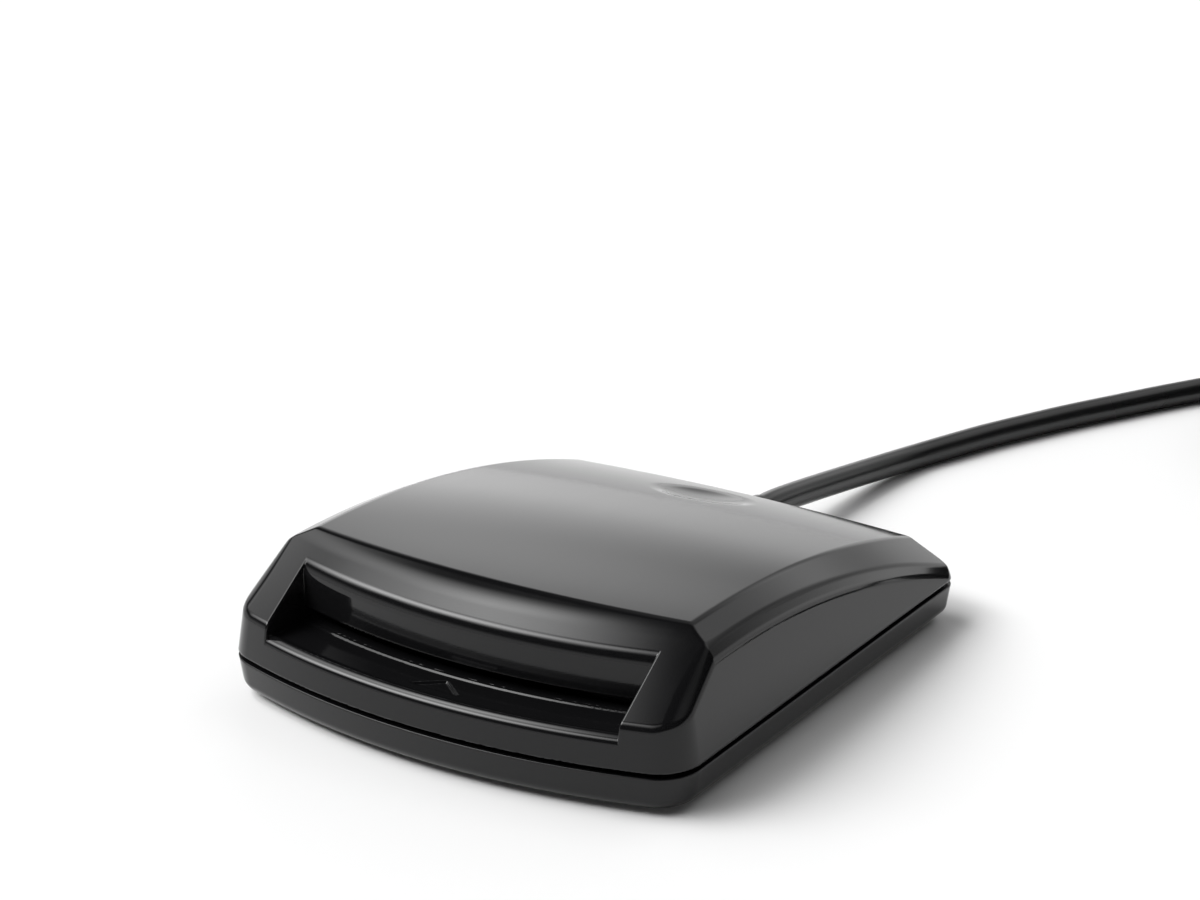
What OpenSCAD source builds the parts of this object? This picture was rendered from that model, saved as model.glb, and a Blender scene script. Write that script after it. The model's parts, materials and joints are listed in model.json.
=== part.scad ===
// Desktop smart card reader: wedge-shaped two-shell housing, card guide, contact block and USB lead.
// Millimetres. X to the right seen from the card side, Y to the back, Z up from the table.
// The origin is at the middle of the housing, on the table.

/* [Housing] */
// Width of the housing at the parting line
body_w = 72; // [70:0.5:80]
// Length of the housing at the parting line, from the front arc to the back
body_l = 83; // [82:0.5:92]
// Height of the base shell below the parting line
base_h = 5.3; // [5:0.1:8]
// Height of the roof above the parting line at its highest point
roof_h = 15.8; // [15:0.1:18]
// Wall thickness of both shells
wall = 1.8; // [1.5:0.1:2]
// Radius of the front arc seen from above
front_r = 105; // [95:1:130]
// Radius of the back edge seen from above
back_r = 700; // [500:10:1200]
// Radius of the two front corners
corner_r = 6.3; // [5:0.1:8]
// Radius of the two back corners
back_corner_r = 3; // [3:0.1:5]
// Draft angle of the outer walls
draft = 8.5; // [7:0.5:10]
// Height of the shadow groove between the shells
groove_h = 0.6; // [0.4:0.1:0.8]

/* [Roof form] */
// Lengthwise radius of the roof
roof_len_r = 181; // [175:1:200]
// Sideways radius of the roof
roof_side_r = 650; // [500:10:900]
// Distance of the roof's highest line behind the front
roof_top_d = 21.3; // [18:0.1:24]
// Tilt of the side chamfers
chamfer_tilt = 26; // [22:1:30]
// Lengthwise radius of the side chamfers
chamfer_len_r = 190; // [185:1:200]
// Distance of the chamfers' middle line from the centre
chamfer_x = 31; // [30.5:0.1:31.5]
// Depth of the chamfers' middle line below the roof's highest point
chamfer_drop = 1.3; // [1:0.1:1.8]
// Height of the crease over the front wall
crease_h = 6.8; // [6:0.1:7.5]
// Slope of the card face above the crease
face_slope = 34; // [32:0.5:36]
// Slope of the rounded band where it meets the roof
band_slope = 21.5; // [18:0.5:24]
// Radius of the rounded band between card face and roof
band_r = 12; // [8:0.5:16]
// Distance of the band's lower edge behind the front arc
band_d = 11.4; // [10.5:0.1:12]

/* [Card recess] */
// Width of the housing beside the recess, on each side
side_land = 8.3; // [7.5:0.1:9]
// Distance of the recess's back face behind the front arc
fascia_d = 8.8; // [8:0.1:10]
// Height of the slot's floor above the parting line
slot_z = 4.4; // [4.2:0.1:4.6]
// Height of the card slot
slot_h = 1.7; // [1.5:0.1:2]
// Rounding radius of the lip under the card
lip_r = 1.3; // [0.8:0.1:1.6]
// Fall of the recess floor from the slot to the lip
ramp_fall = 0.3; // [0.1:0.1:0.5]
// Length of the insertion arrow
arrow_l = 3; // [2:0.1:4]
// Width of the insertion arrow
arrow_w = 7.6; // [5:0.1:9]
// Depth of the insertion arrow
arrow_depth = 0.25; // [0.15:0.05:0.4]

/* [Light dish] */
// Distance of the dish's middle from the back
dish_back = 12; // [11:0.1:13]
// Length of the oval dish across the roof
dish_l = 13.8; // [11:0.1:15]
// Width of the oval dish along the roof
dish_w = 7.6; // [6:0.1:9]
// Depth of the oval dish
dish_depth = 0.9; // [0.6:0.05:1]

/* [Card] */
// Play between the card and the recess on each side
card_play = 0.71; // [0.5:0.01:0.8]
// Thickness of the card that the reader takes
card_t = 0.76; // [0.7:0.01:0.84]
// Distance of the card's end stop behind the front
stop_d = 64; // [63:0.1:65]
// Contact row nearest the card's leading edge
contact_near = 11.25; // [11:0.05:11.5]
// Distance between the two contact rows
contact_rows = 7.62; // [7.5:0.01:7.7]
// Distance between neighbouring contacts
contact_pitch = 2.54; // [2.5:0.01:2.6]
// Distance of the first contact from the card's long edge
contact_edge = 20.08; // [19.5:0.01:20.5]

/* [Contacts] */
// Width of a contact wiper
wiper_w = 0.9; // [0.7:0.05:1.1]
// Thickness of a contact wiper
wiper_t = 0.2; // [0.15:0.01:0.25]
// Distance from a wiper's root to its contact dome
wiper_l = 5.5; // [5:0.1:6]
// Height of the contact dome over the card's underside at rest
wiper_lift = 0.5; // [0.3:0.05:0.6]
// Radius of a wiper's rolled root
wiper_root_r = 0.4; // [0.35:0.01:0.45]
// Radial running clearance around a rolled root
root_gap = 0.05; // [0.03:0.01:0.08]

/* [Board] */
// Distance of the circuit board from the housing's sides
board_side = 11; // [10:0.5:13]
// Length of the circuit board
board_l = 53; // [51:0.5:53]
// Thickness of the circuit board
board_t = 1.6; // [1:0.1:1.6]
// Distance of the board's front edge behind the front
board_d = 21; // [19.5:0.5:21]
// Depth of the board's top below the parting line
board_drop = 0.4; // [0.2:0.1:0.6]

/* [Feet] */
// Diameter of the rubber feet
foot_dia = 8; // [6:0.5:9]
// Height of the feet below the base
foot_stand = 0.7; // [0.5:0.1:1.5]
// Depth of the foot pockets in the base
foot_pocket = 0.6; // [0.4:0.1:0.8]

/* [Lead] */
// Diameter of the lead
lead_dia = 4; // [3.8:0.1:4.2]
// Height of the lead's exit above the parting line
lead_exit_h = 0.6; // [0.3:0.1:0.7]
// Visible length of the strain relief
relief_l = 5; // [4:0.5:5.5]
// Distance between neighbouring turns and layers of the coil
turn_pitch = 4.5; // [4.5:0.05:4.7]
// Radius of the coil at the middle of its turns
coil_mid_r = 22.5; // [21.5:0.1:23.5]
// Thickness of the coil's tie
tie_t = 0.5; // [0.4:0.1:0.6]
// Width of the coil's tie
tie_w = 9; // [6:0.5:10]
// Length of the plug's moulded grip
grip_l = 26; // [22:0.5:30]
// Width of the plug's moulded grip
grip_w = 16; // [14.5:0.5:18]
// Height of the plug's moulded grip
grip_h = 8; // [7:0.5:9]

/* [Hidden] */
// Names of the parts that make up the reader
$fn = 48;
// Facets on the plan's arcs, on the roof's long arcs and on the back edge
fn_plan = 360;
fn_roof = 720;
fn_back = 1440;
// Facets on holes and other small rounds
fn_small = 24;
// Overrun of every cut past the face it opens
over = 0.1;
// Least radius left at an inner corner
least_r = 0.2;

// Heights of the parting plane and place of the front arc
part_z = foot_stand + base_h;
front_y = -body_l / 2;
groove_z = groove_h / 2;
recess_w = body_w - 2 * side_land;
card_w = recess_w - 2 * card_play;
board_w = body_w - 2 * board_side;
dish_d = body_l - dish_back;
draft_run = tan(draft);

// Rounded underside of the base, as heights over the parting plane and plan insets, from bottom to top
foot_round = 1.5;
foot_angles = [0, 30, 60, 90];
wall_run = (base_h - groove_z - foot_round) * draft_run;
base_outline = [
    for (a = foot_angles) [foot_round * (1 - cos(a)) - base_h, wall_run + foot_round * (1 - sin(a))],
    [-groove_z, 0]
];

// Tongue of the base inside the top shell's wall
tongue_gap = 0.1;
tongue_t = 0.9;
tongue_h = 1.5;
tongue_root = 1.5;
tongue_outset = wall + tongue_h * draft_run + tongue_gap;
tongue_inset = tongue_outset + tongue_t;
shell_top = roof_h + wall;

// Corner centres of the plan and the directions from them to the front and back arcs
corner_x = body_w / 2 - corner_r;
corner_d = front_r - sqrt(pow(front_r - corner_r, 2) - pow(corner_x, 2));
corner_dir = [corner_x, corner_d - front_r] / (front_r - corner_r);
back_corner_x = body_w / 2 - back_corner_r;
back_corner_d = body_l - back_r + sqrt(pow(back_r - back_corner_r, 2) - pow(back_corner_x, 2));
back_corner_dir = [back_corner_x, back_corner_d - body_l + back_r] / (back_r - back_corner_r);

// Card face: crease, straight slope, rounded band and straight run into the roof
crease_d = 1;
face_rise = tan(face_slope);
band_z = crease_h + (band_d - crease_d) * face_rise;
band_centre_d = band_d + band_r * sin(face_slope);
band_centre_z = band_z - band_r * cos(face_slope);
face_reach = 60;

// Shoulders: narrow bevels that break the edges between the side chamfers and the drafted side walls
chamfer_z = roof_h - chamfer_drop;
wall_foot_x = body_w / 2 + groove_z * draft_run;
function edge_run(tilt) = cos(tilt) - sin(tilt) * draft_run;
chamfer_edge_drop = tan(chamfer_tilt) * (wall_foot_x - chamfer_x);
edge_z = cos(chamfer_tilt) * (chamfer_z - chamfer_edge_drop) / edge_run(chamfer_tilt);
edge_x = wall_foot_x - edge_z * draft_run;
shoulder_cut = 0.35;
shoulder_tilt = (chamfer_tilt + 90 - draft) / 2;
shoulder_x = edge_x - shoulder_cut * sin(shoulder_tilt);
shoulder_z = edge_z - shoulder_cut * cos(shoulder_tilt);
shoulder_len_r = chamfer_len_r * edge_run(chamfer_tilt) / edge_run(shoulder_tilt);

// Recess and its insertion arrow
pocket_x = recess_w / 2 + wall;
lip_z = slot_z - ramp_fall;
lip_d = lip_r + (lip_z - lip_r - groove_z) * draft_run;
arrow_d = 4.1;

// Screws, their columns and their pockets
screw_r = 1;
screw_head_r = 1.9;
screw_head_h = 1.3;
screw_l = 7.6;
screw_slot_r = 0.9;
screw_slot_h = 0.7;
screw_hole_r = 1.15;
screw_bite_r = 0.85;
head_pocket_r = 2.1;
head_pocket_h = 2;
column_r = 2;
column_root_r = 3;
column_root_z = 1.2;
column_gap = 0.3;
column_front_gap = 6.4;
column_rear_gap = 11;
column_x = body_w / 2 - tongue_inset - column_r - column_gap;
column_front_d = fascia_d + wall + column_front_gap;
column_rear_d = body_l - column_rear_gap;
column_places = [for (side = [-1, 1]) for (d = [column_front_d, column_rear_d]) [side * column_x, d]];
tip_room = 0.2;
bite_depth = screw_l - base_h + head_pocket_h + tip_room;

// Circuit board and the columns that it is screwed to
board_top = -board_drop;
board_bottom = board_top - board_t;
base_floor = wall - base_h;
board_rear_d = board_d + board_l;
board_column_r = 2.3;
board_inset = 3.2;
board_hole_r = 1.1;
board_screw_bite = 1.9;
board_screw_l = board_t + board_screw_bite;
board_x = board_w / 2 - board_inset;
board_screw_places = [
    for (side = [-1, 1]) for (d = [board_d + board_inset, board_rear_d - board_inset]) [side * board_x, d]
];

// Feet
foot_r = foot_dia / 2;
foot_side = 14;
foot_x = body_w / 2 - foot_side;
foot_front_d = 13;
foot_rear_gap = 8;
foot_rear_d = body_l - foot_rear_gap;
foot_bevel = 0.4;
foot_gap = 0.05;

// Card guide: a floor, two rails with lips and an end stop, on four legs
card_gap = 0.4;
guide_x = card_w / 2 + card_gap;
rail_t = 1;
rail_lip = 1.2;
lip_t = 0.8;
guide_floor_t = 1;
guide_drop = 0.1;
guide_floor_z = slot_z - guide_drop - guide_floor_t;
guide_top = slot_z + slot_h + lip_t;
guide_front_gap = 1.2;
guide_front_d = fascia_d + wall + guide_front_gap + front_r - sqrt(pow(front_r, 2) - pow(guide_x, 2));
stop_t = 1.4;
leg_r = 1.4;
leg_inset = 3;
leg_stop_gap = 6;
leg_x = board_w / 2 - leg_inset;
peg_r = 0.6;
peg_gap = 0.05;
window_size = [11, 9];
window_front_gap = 4;
window_inset = 8.9;
window_bridge = 3.4;
window_front_d = guide_front_d + window_front_gap;
window_x = guide_x - window_inset;
window_step = window_size[1] + window_bridge;
window_places = [
    for (side = [-1, 1]) for (k = [0, 1]) [side * window_x, window_front_d + k * window_step]
];
leg_front_d = window_front_d + window_step - window_bridge / 2;
leg_places = [for (side = [-1, 1]) for (d = [leg_front_d, stop_d - leg_stop_gap]) [side * leg_x, d]];

// Contact block on the board, with its two rows of wipers
row_near_d = stop_d - contact_near;
row_far_d = row_near_d - contact_rows;
column0_x = contact_edge - card_w / 2;
columns = 4;
block_side = 2.2;
block_front_gap = 2;
block_rear_gap = 2.6;
block_front_d = row_far_d - wiper_l - block_front_gap;
block_rear_d = row_near_d + block_rear_gap;
block_left_x = column0_x - block_side;
block_right_x = column0_x + (columns - 1) * contact_pitch + block_side;
block_drop = 0.15;
block_h = slot_z - block_drop - board_top;
block_window_gap = 0.4;
wiper_places = [
    for (d = [row_far_d, row_near_d]) for (c = [0 : columns - 1]) [column0_x + c * contact_pitch, d - wiper_l]
];
wiper_slot_gap = 0.2;
root_drop = 1.4;
root_z = slot_z - root_drop;
wiper_dome = root_drop + wiper_lift;
slot_sink = 1.4;
slot_floor_z = root_z - slot_sink;
slot_front = 0.9;
slot_rear_share = 1.28;
axle_reach = 0.2;
axle_end_gap = 0.05;
wiper_l_shares = [0, 0.15, 0.4, 0.7, 0.88, 1, 1.1, 1.18];
wiper_h_shares = [0.1, 0.14, 0.42, 0.8, 0.96, 1, 0.94, 0.78];
tail_size = [0.7, 1.8, 0.2];

// End switch: a body on the board and a lever whose tip waits in front of the end stop
switch_inset = 9;
switch_x = board_w / 2 - switch_inset;
switch_w = 5;
switch_l = 3.4;
switch_h = 2.9;
lever_w = 1.4;
lever_t = 0.5;
lever_travel = 0.9;
lever_root_r = 0.5;
lever_slot_gap = 0.15;
lever_window_gap = 0.5;
lever_d = stop_d - lever_travel + lever_t / 2;
lever_root_rise = 1.6;
lever_slot_rise = 0.7;
lever_tip_rise = 0.7;
lever_z = board_top + lever_root_rise;
lever_slot_z = board_top + lever_slot_rise;
lever_h = slot_z + card_t + lever_tip_rise - lever_z;

// Parts on the board
chip_w = 7;
chip_t = 1;
chip_stand = 0.1;
chip_inset = 12;
chip_back = 13;
chip_x = board_w / 2 - chip_inset;
chip_d = board_d + chip_back;
pin_w = 0.3;
pin_pitch = 0.8;
pin_reach = 1;
pin_t = 0.15;
pin_h = 0.6;
pins_a_side = 8;
crystal_can = [4.8, 3.2, 2.2];
crystal_brim = 0.35;
crystal_base_t = 0.4;
crystal_inset = 10;
crystal_back = 12;
crystal_x = crystal_inset - board_w / 2;
crystal_d = board_d + crystal_back;
capacitor_size = [1.6, 0.8, 0.8];
capacitor_shares = [[-0.36, 0.42], [-0.36, 0.5], [-0.36, 0.58], [0.36, 0.4], [0.36, 0.5], [0.14, 0.12]];
led_size = [3.2, 1.6, 0.9];
led_lens_r = 0.6;
led_lens_h = 0.4;
light_r = 1.5;
light_foot_r = 2.6;
light_foot_h = 2.4;
light_gap = 0.3;
light_skin = 0.6;
light_fit = 0.1;
header_size = [7.5, 4.2, 3.4];
header_wall = 0.7;
header_x = -9.5;
header_gap = 0.8;
header_d = stop_d + stop_t + header_gap;
wires = 4;
wire_dia = 0.7;
wire_pitch = 1.25;
wire_end_pitch = 0.8;
wire_z = 1.4;
wire_split = 0.5;
wire_pull = 4.5;
wire_sides = 6;
wire_rings = 12;

// Roof height over the parting plane at the dish, and the inside of the roof there
dish_roof_z = roof_h - roof_len_r + sqrt(pow(roof_len_r, 2) - pow(dish_d - roof_top_d, 2));
dish_slope = asin((dish_d - roof_top_d) / roof_len_r);
dish_round = (pow(dish_w / 2, 2) + pow(dish_depth, 2)) / (2 * dish_depth);
light_top_z = dish_roof_z - dish_depth - light_skin;

// Strain relief: a flange inside the rear wall, a neck through it and a tapered end outside
relief_flange_r = 3.3;
relief_flange_t = 1.2;
relief_neck_r = 2.7;
relief_tip_r = 2.35;
relief_fit = 0.1;
relief_inner_d = body_l - tongue_inset - relief_fit - relief_flange_t;

// Lead: hand-chosen points, slack behind the strain relief and then on the table up to the coil
lead_r = lead_dia / 2;
cable_sides = 8;
lead_start = [0, body_l / 2 + relief_l, part_z + lead_exit_h];
tie_clear = 0.1;
coil_low = tie_t + tie_clear + lead_r;
coil_centre = [66, 146];
entry_angle = 143;
layers = 4;
layer_turns = 2.3535;
coil_sides = 6;
rings_a_turn = 24;
coil_turns = layers * layer_turns;
coil_outer_r = coil_mid_r + layer_turns * turn_pitch / 2;
exit_angle = entry_angle - 360 * coil_turns;
function coil_heading(angle) = [sin(angle), -cos(angle), 0];
function coil_side(angle) = [cos(angle), sin(angle), 0];
coil_entry = [coil_centre[0], coil_centre[1], coil_low] + coil_outer_r * coil_side(entry_angle);
coil_start = coil_entry - lead_dia * coil_heading(entry_angle);
slack_lengths = [2.5, 6.5, 13.5, 23, 33, 42.3];
slack_offsets = [0, 0.1, 0.4, 1.1, 2.1, 3.7];
slack_drop_shares = [0.02, 0.11, 0.3, 0.57, 0.83, 1];
slack_drop = lead_start[2] - lead_r;
slack_route = [
    for (i = [0 : len(slack_lengths) - 1])
        lead_start + [slack_offsets[i], slack_lengths[i], -slack_drop_shares[i] * slack_drop]
];
table_places = [
    [6.4, 96.3], [9.2, 103.7], [12, 110], [16.5, 119.5], [21.3, 128.5], [26.2, 137.5], [31.4, 146.3]
];
table_route = [for (p = table_places) [p[0], p[1], lead_r]];
coil_rise = 0.2;
coil_lead_in = [36.3, 152.9, lead_r + coil_rise];
cable_route = concat([lead_start], slack_route, table_route, [coil_lead_in, coil_start]);

// The coil spirals in and out again, and climbs a layer in the half turn where it reverses
function layer_share(turn) = turn / layer_turns;
function spiral_r(turn) =
    let (phase = layer_share(turn) % 2, drawn = phase < 1 ? phase : 2 - phase)
    coil_outer_r - drawn * layer_turns * turn_pitch;
function ramp(c) = c * c * (3 - 2 * c);
function climb(turn, reversal) = ramp(min(1, max(0, 2 * (turn - reversal) + 1 / 2)));
function coil_z(turn) =
    let (climbs = [for (k = [1 : layers - 1]) climb(turn, k * layer_turns)])
    coil_low + turn_pitch * sum(climbs);
function coil_point(turn) =
    let (p = [coil_centre[0], coil_centre[1], 0] + spiral_r(turn) * coil_side(entry_angle - 360 * turn))
    [p[0], p[1], coil_z(turn)];
function sum(list, i = 0) = i < len(list) ? list[i] + sum(list, i + 1) : 0;
coil_steps = ceil(rings_a_turn * coil_turns);
coil_path = [for (i = [0 : coil_steps]) coil_point(coil_turns * i / coil_steps)];
coil_exit = coil_path[coil_steps];
out_heading = coil_heading(exit_angle);
coil_end = coil_exit + lead_dia * out_heading;

// From the coil down to the plug, which lies on its grip beside the coil
plug_drop = coil_end[2] - grip_h / 2;
end_lengths = [0, 4, 10, 18, 26, 34, 42, 46];
end_drop_shares = [0, 0, 0.03, 0.27, 0.66, 0.94, 1, 1];
end_route = [
    for (i = [0 : len(end_lengths) - 1])
        coil_end + end_lengths[i] * out_heading - [0, 0, end_drop_shares[i] * plug_drop]
];
plug_start = end_route[len(end_route) - 1];
plug_angle = atan2(out_heading[1], out_heading[0]);
neck_l = 9;
neck_r = 3.2;
neck_tip_r = 2.6;
grip_round = 1.6;
grip_corner = 3;
plug_size = [18.6, 12, 4.5];
plug_sink = 6;
plug_wall = 0.3;
latch_w = 2.5;
latch_x = 5.2;
latch_y = 2.2;
insert_t = 1.9;
insert_short = 0.4;
plug_pin_size = [7.5, 1, 0.15];
plug_pins = [-3.5, -1, 1, 3.5];

// Tie round the coil's bundle, as a closed strap
tie_angle = 285;
tie_gap = 0.35;
bundle_h = (layers - 1) * turn_pitch + lead_dia;
coil_inner_r = coil_outer_r - layer_turns * turn_pitch;
tie_sag = coil_inner_r - sqrt(pow(coil_inner_r, 2) - pow(tie_w / 2, 2));
tie_in_r = coil_inner_r - lead_r - tie_sag - tie_gap;
tie_out_r = coil_outer_r + lead_r + tie_gap;
tie_round = 2.5;

// Length of the lead and least gap between its turns, for the console
function path_length(path) = sum([for (i = [1 : len(path) - 1]) norm(path[i] - path[i - 1])]);
least_pitch = min([
    for (i = [0 : coil_steps]) for (j = [i + rings_a_turn / 2 : coil_steps]) norm(coil_path[i] - coil_path[j])
]);
echo(lead_length = path_length(cable_route) + path_length(coil_path) + path_length(end_route) + 2 * lead_dia);
echo(least_gap = least_pitch - lead_dia);

function at(path, i) = path[max(0, min(len(path) - 1, i))];
function heading(path, i) = let (v = at(path, i + 1) - at(path, i - 1)) v / norm(v);
function ring(centre, along, r, sides) =
    let (flat = cross(along, [0, 0, 1]), side = flat / norm(flat), up = cross(side, along))
    [
        for (k = [0 : sides - 1])
            let (a = 360 * (k + 1 / 2) / sides)
            centre + r * (cos(a) * side + sin(a) * up)
    ];

// An unbroken tube along a path, with a flat end square to its first and last headings
module tube(path, first_heading, last_heading, r, sides) {
    last = len(path) - 1;
    headings = [
        for (i = [0 : last]) i == 0 ? first_heading : i == last ? last_heading : heading(path, i)
    ];
    points = [for (i = [0 : last]) each ring(path[i], headings[i], r, sides)];
    walls = [
        for (i = [0 : last - 1]) for (k = [0 : sides - 1])
            let (a = i * sides + k, b = i * sides + (k + 1) % sides)
            each [[a, b, b + sides], [a, b + sides, a + sides]]
    ];
    start_cap = [for (k = [1 : sides - 2]) [0, k + 1, k]];
    end_cap = [for (k = [1 : sides - 2]) [last * sides, last * sides + k, last * sides + k + 1]];
    polyhedron(points, concat(walls, start_cap, end_cap), convexity = 10);
}

// Places a piece given by its distance behind the front and its height over the parting plane
module in_housing() {
    translate([0, front_y, part_z]) children();
}

// Outline of a wall that stands r from its centre, from heights and insets; low and high lengthen it
module wall_outline(r, levels, low, high) {
    last = len(levels) - 1;
    under = [max(least_r, r - levels[0][1]), levels[0][0] - low];
    above = [max(least_r, r - levels[last][1]), levels[last][0] + high];
    polygon([
        [0, under[1]],
        if (low > 0) under,
        for (p = levels) [max(least_r, r - p[1]), p[0]],
        if (high > 0) above,
        [0, above[1]]
    ]);
}

// What lies outside a rounded corner of the plan, between its two tangent directions
module corner_waste(centre, wall_dir, side, r, levels) {
    reach = 2 * corner_r;
    low_z = levels[0][0];
    high_z = levels[len(levels) - 1][0];
    translate([centre[0], centre[1], 0]) difference() {
        translate([0, 0, low_z - over]) linear_extrude(high_z - low_z + 2 * over)
            polygon([[0, 0], reach * wall_dir, reach * (wall_dir + [side, 0]), [reach * side, 0]]);
        rotate([0, 0, 90 + 90 * side]) rotate_extrude() wall_outline(r, levels, 2 * over, 2 * over);
    }
}

// Solid with the housing's plan, its walls moved in by an inset at each height of a list of levels
module plan_form(levels) {
    half_w = [for (p = levels) [body_w / 2 - p[1], p[0]]];
    mirrored = [for (i = [len(levels) - 1 : -1 : 0]) [-half_w[i][0], half_w[i][1]]];
    difference() {
        intersection() {
            translate([0, front_r, 0]) rotate_extrude($fn = fn_plan)
                wall_outline(front_r, levels, 0, 0);
            translate([0, body_l - back_r, 0]) rotate_extrude($fn = fn_back)
                wall_outline(back_r, levels, 0, 0);
            translate([0, 2 * body_l, 0]) rotate([90, 0, 0]) linear_extrude(3 * body_l)
                polygon(concat(half_w, mirrored));
        }
        for (side = [-1, 1]) {
            front_dir = [side * corner_dir[0], corner_dir[1]];
            back_dir = [side * back_corner_dir[0], back_corner_dir[1]];
            corner_waste([side * corner_x, corner_d], front_dir, side, corner_r, levels);
            corner_waste([side * back_corner_x, back_corner_d], back_dir, side, back_corner_r, levels);
        }
    }
}

// Plan inset of the drafted walls at a height over or under the parting plane
function drafted(z) = (abs(z) - groove_z) * draft_run;

// Roof crown: a long arc swept about an axis far below that runs front to back
module roof_form(inset) {
    sweep_angle = 2 * asin(body_w / roof_side_r);
    translate([0, 0, roof_h - roof_side_r]) rotate([-90, 0, 0])
        rotate_extrude(angle = sweep_angle, start = -90 - sweep_angle / 2, $fn = fn_plan) intersection() {
            translate([roof_side_r - roof_len_r, roof_top_d]) circle(roof_len_r - inset, $fn = fn_roof);
            translate([roof_side_r - 2 * roof_h - wall, -wall]) square([2 * shell_top, body_l + 2 * wall]);
        }
}

// Card face: the slope, band and run into the roof, turned about the front arc's centre
module face_form(inset) {
    in_r = band_r - inset;
    low = [band_centre_d, band_centre_z] + in_r * [-sin(face_slope), cos(face_slope)];
    high = [band_centre_d, band_centre_z] + in_r * [-sin(band_slope), cos(band_slope)];
    foot = low - face_reach * [cos(face_slope), sin(face_slope)];
    far = high + face_reach * [cos(band_slope), sin(band_slope)];
    outline = [
        foot, low, [band_centre_d, band_centre_z], high, far, [front_r, far[1]], [front_r, foot[1]]
    ];
    translate([0, front_r, 0]) rotate_extrude($fn = fn_plan) intersection() {
        translate([front_r, 0]) mirror([1, 0]) union() {
            polygon(outline);
            translate([band_centre_d, band_centre_z]) circle(in_r, $fn = fn_small * 4);
        }
        translate([0, -wall]) square([front_r + face_reach, shell_top + 2 * wall]);
    }
}

// Cylinder whose top line passes through a point of one side's roof edge at a tilt
module tilted_arc(side, x, z, tilt, r) {
    translate([side * (x - r * sin(tilt)), roof_top_d, z - r * cos(tilt)]) rotate([0, side * tilt + 90, 0])
        cylinder(h = 5 * body_w, r = r, center = true, $fn = fn_roof);
}

// Chamfer and shoulder along one side of the roof
module side_form(side, inset) {
    intersection() {
        tilted_arc(side, chamfer_x, chamfer_z, chamfer_tilt, chamfer_len_r - inset);
        tilted_arc(side, shoulder_x, shoulder_z, shoulder_tilt, shoulder_len_r - inset);
    }
}

// Form of the top shell's outside or, a wall's thickness further in, of its inside
module hood(inset, z_low) {
    intersection() {
        plan_form([[z_low, inset + drafted(z_low)], [shell_top, inset + drafted(shell_top)]]);
        roof_form(inset);
        face_form(inset);
        side_form(-1, inset);
        side_form(1, inset);
    }
}

// Ring about the front arc's centre, from an outline of distances behind the front and heights
module swept_card_face(half_w) {
    intersection() {
        translate([0, front_r, 0]) rotate_extrude($fn = fn_plan)
            translate([front_r, 0]) mirror([1, 0]) children();
        translate([-half_w, -wall, -base_h]) cube([2 * half_w, body_l, base_h + shell_top]);
    }
}

// Outline of what the recess opens: over its floor, in front of its back face, but not the rounded lip
module recess_outline() {
    difference() {
        polygon([
            [-wall, lip_z - lip_r], [lip_d, lip_z - lip_r], [lip_d, lip_z],
            [fascia_d, slot_z], [fascia_d, shell_top], [-wall, shell_top]
        ]);
        translate([lip_d, lip_z - lip_r]) circle(lip_r);
    }
}

// The recess, the card slot through its back face and the arrow in its floor
module recess_cut() {
    swept_card_face(recess_w / 2) recess_outline();
    swept_card_face(recess_w / 2)
        translate([fascia_d - over, slot_z]) square([wall + 2 * over, slot_h]);
    translate([0, arrow_d, lip_z - arrow_depth]) linear_extrude(slot_h)
        polygon([[-arrow_w / 2, 0], [arrow_w / 2, 0], [0, arrow_l]]);
}

// Walls behind and beside the recess, inside the top shell
module recess_walls() {
    intersection() {
        hood(0, groove_z);
        swept_card_face(pocket_x) translate([0, lip_z - lip_r - wall / 2])
            square([fascia_d + wall, shell_top]);
    }
}

// Oval dish in the roof: a stretched ball cap, square to the roof
module dish_cut() {
    translate([0, dish_d, dish_roof_z]) rotate([-dish_slope, 0, 0])
        intersection() {
            translate([0, 0, dish_round - dish_depth]) scale([dish_l / dish_w, 1, 1]) sphere(dish_round);
            translate([-dish_l, -dish_w, -dish_depth - over]) cube([2 * dish_l, 2 * dish_w, dish_round]);
        }
}

// Round channel for the strain relief through the rear wall
module relief_channel(r, from_d, to_d) {
    translate([0, to_d, lead_exit_h]) rotate([90, 0, 0]) cylinder(h = to_d - from_d, r = r);
}

// Top shell: a hollow hood with the recess, dish, screw columns and a hole over the light guide
module top_shell() {
    color("dimgray") difference() {
        union() {
            difference() {
                hood(0, groove_z);
                hood(wall, -groove_z);
            }
            recess_walls();
            intersection() {
                for (p = column_places) translate([p[0], p[1], 0])
                    cylinder(h = shell_top, r = column_r, $fn = fn_small);
                union() {
                    hood(0, groove_z);
                    translate([-body_w / 2, 0, 0]) cube([body_w, body_l, groove_h]);
                }
            }
        }
        recess_cut();
        dish_cut();
        for (p = column_places) translate([p[0], p[1], -over])
            cylinder(h = bite_depth + over, r = screw_bite_r, $fn = fn_small);
        translate([0, dish_d, 0]) cylinder(h = light_top_z, r = light_r + light_fit, $fn = fn_small);
        relief_channel(relief_neck_r + relief_fit, relief_inner_d - relief_fit, body_l + wall);
    }
}

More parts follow.
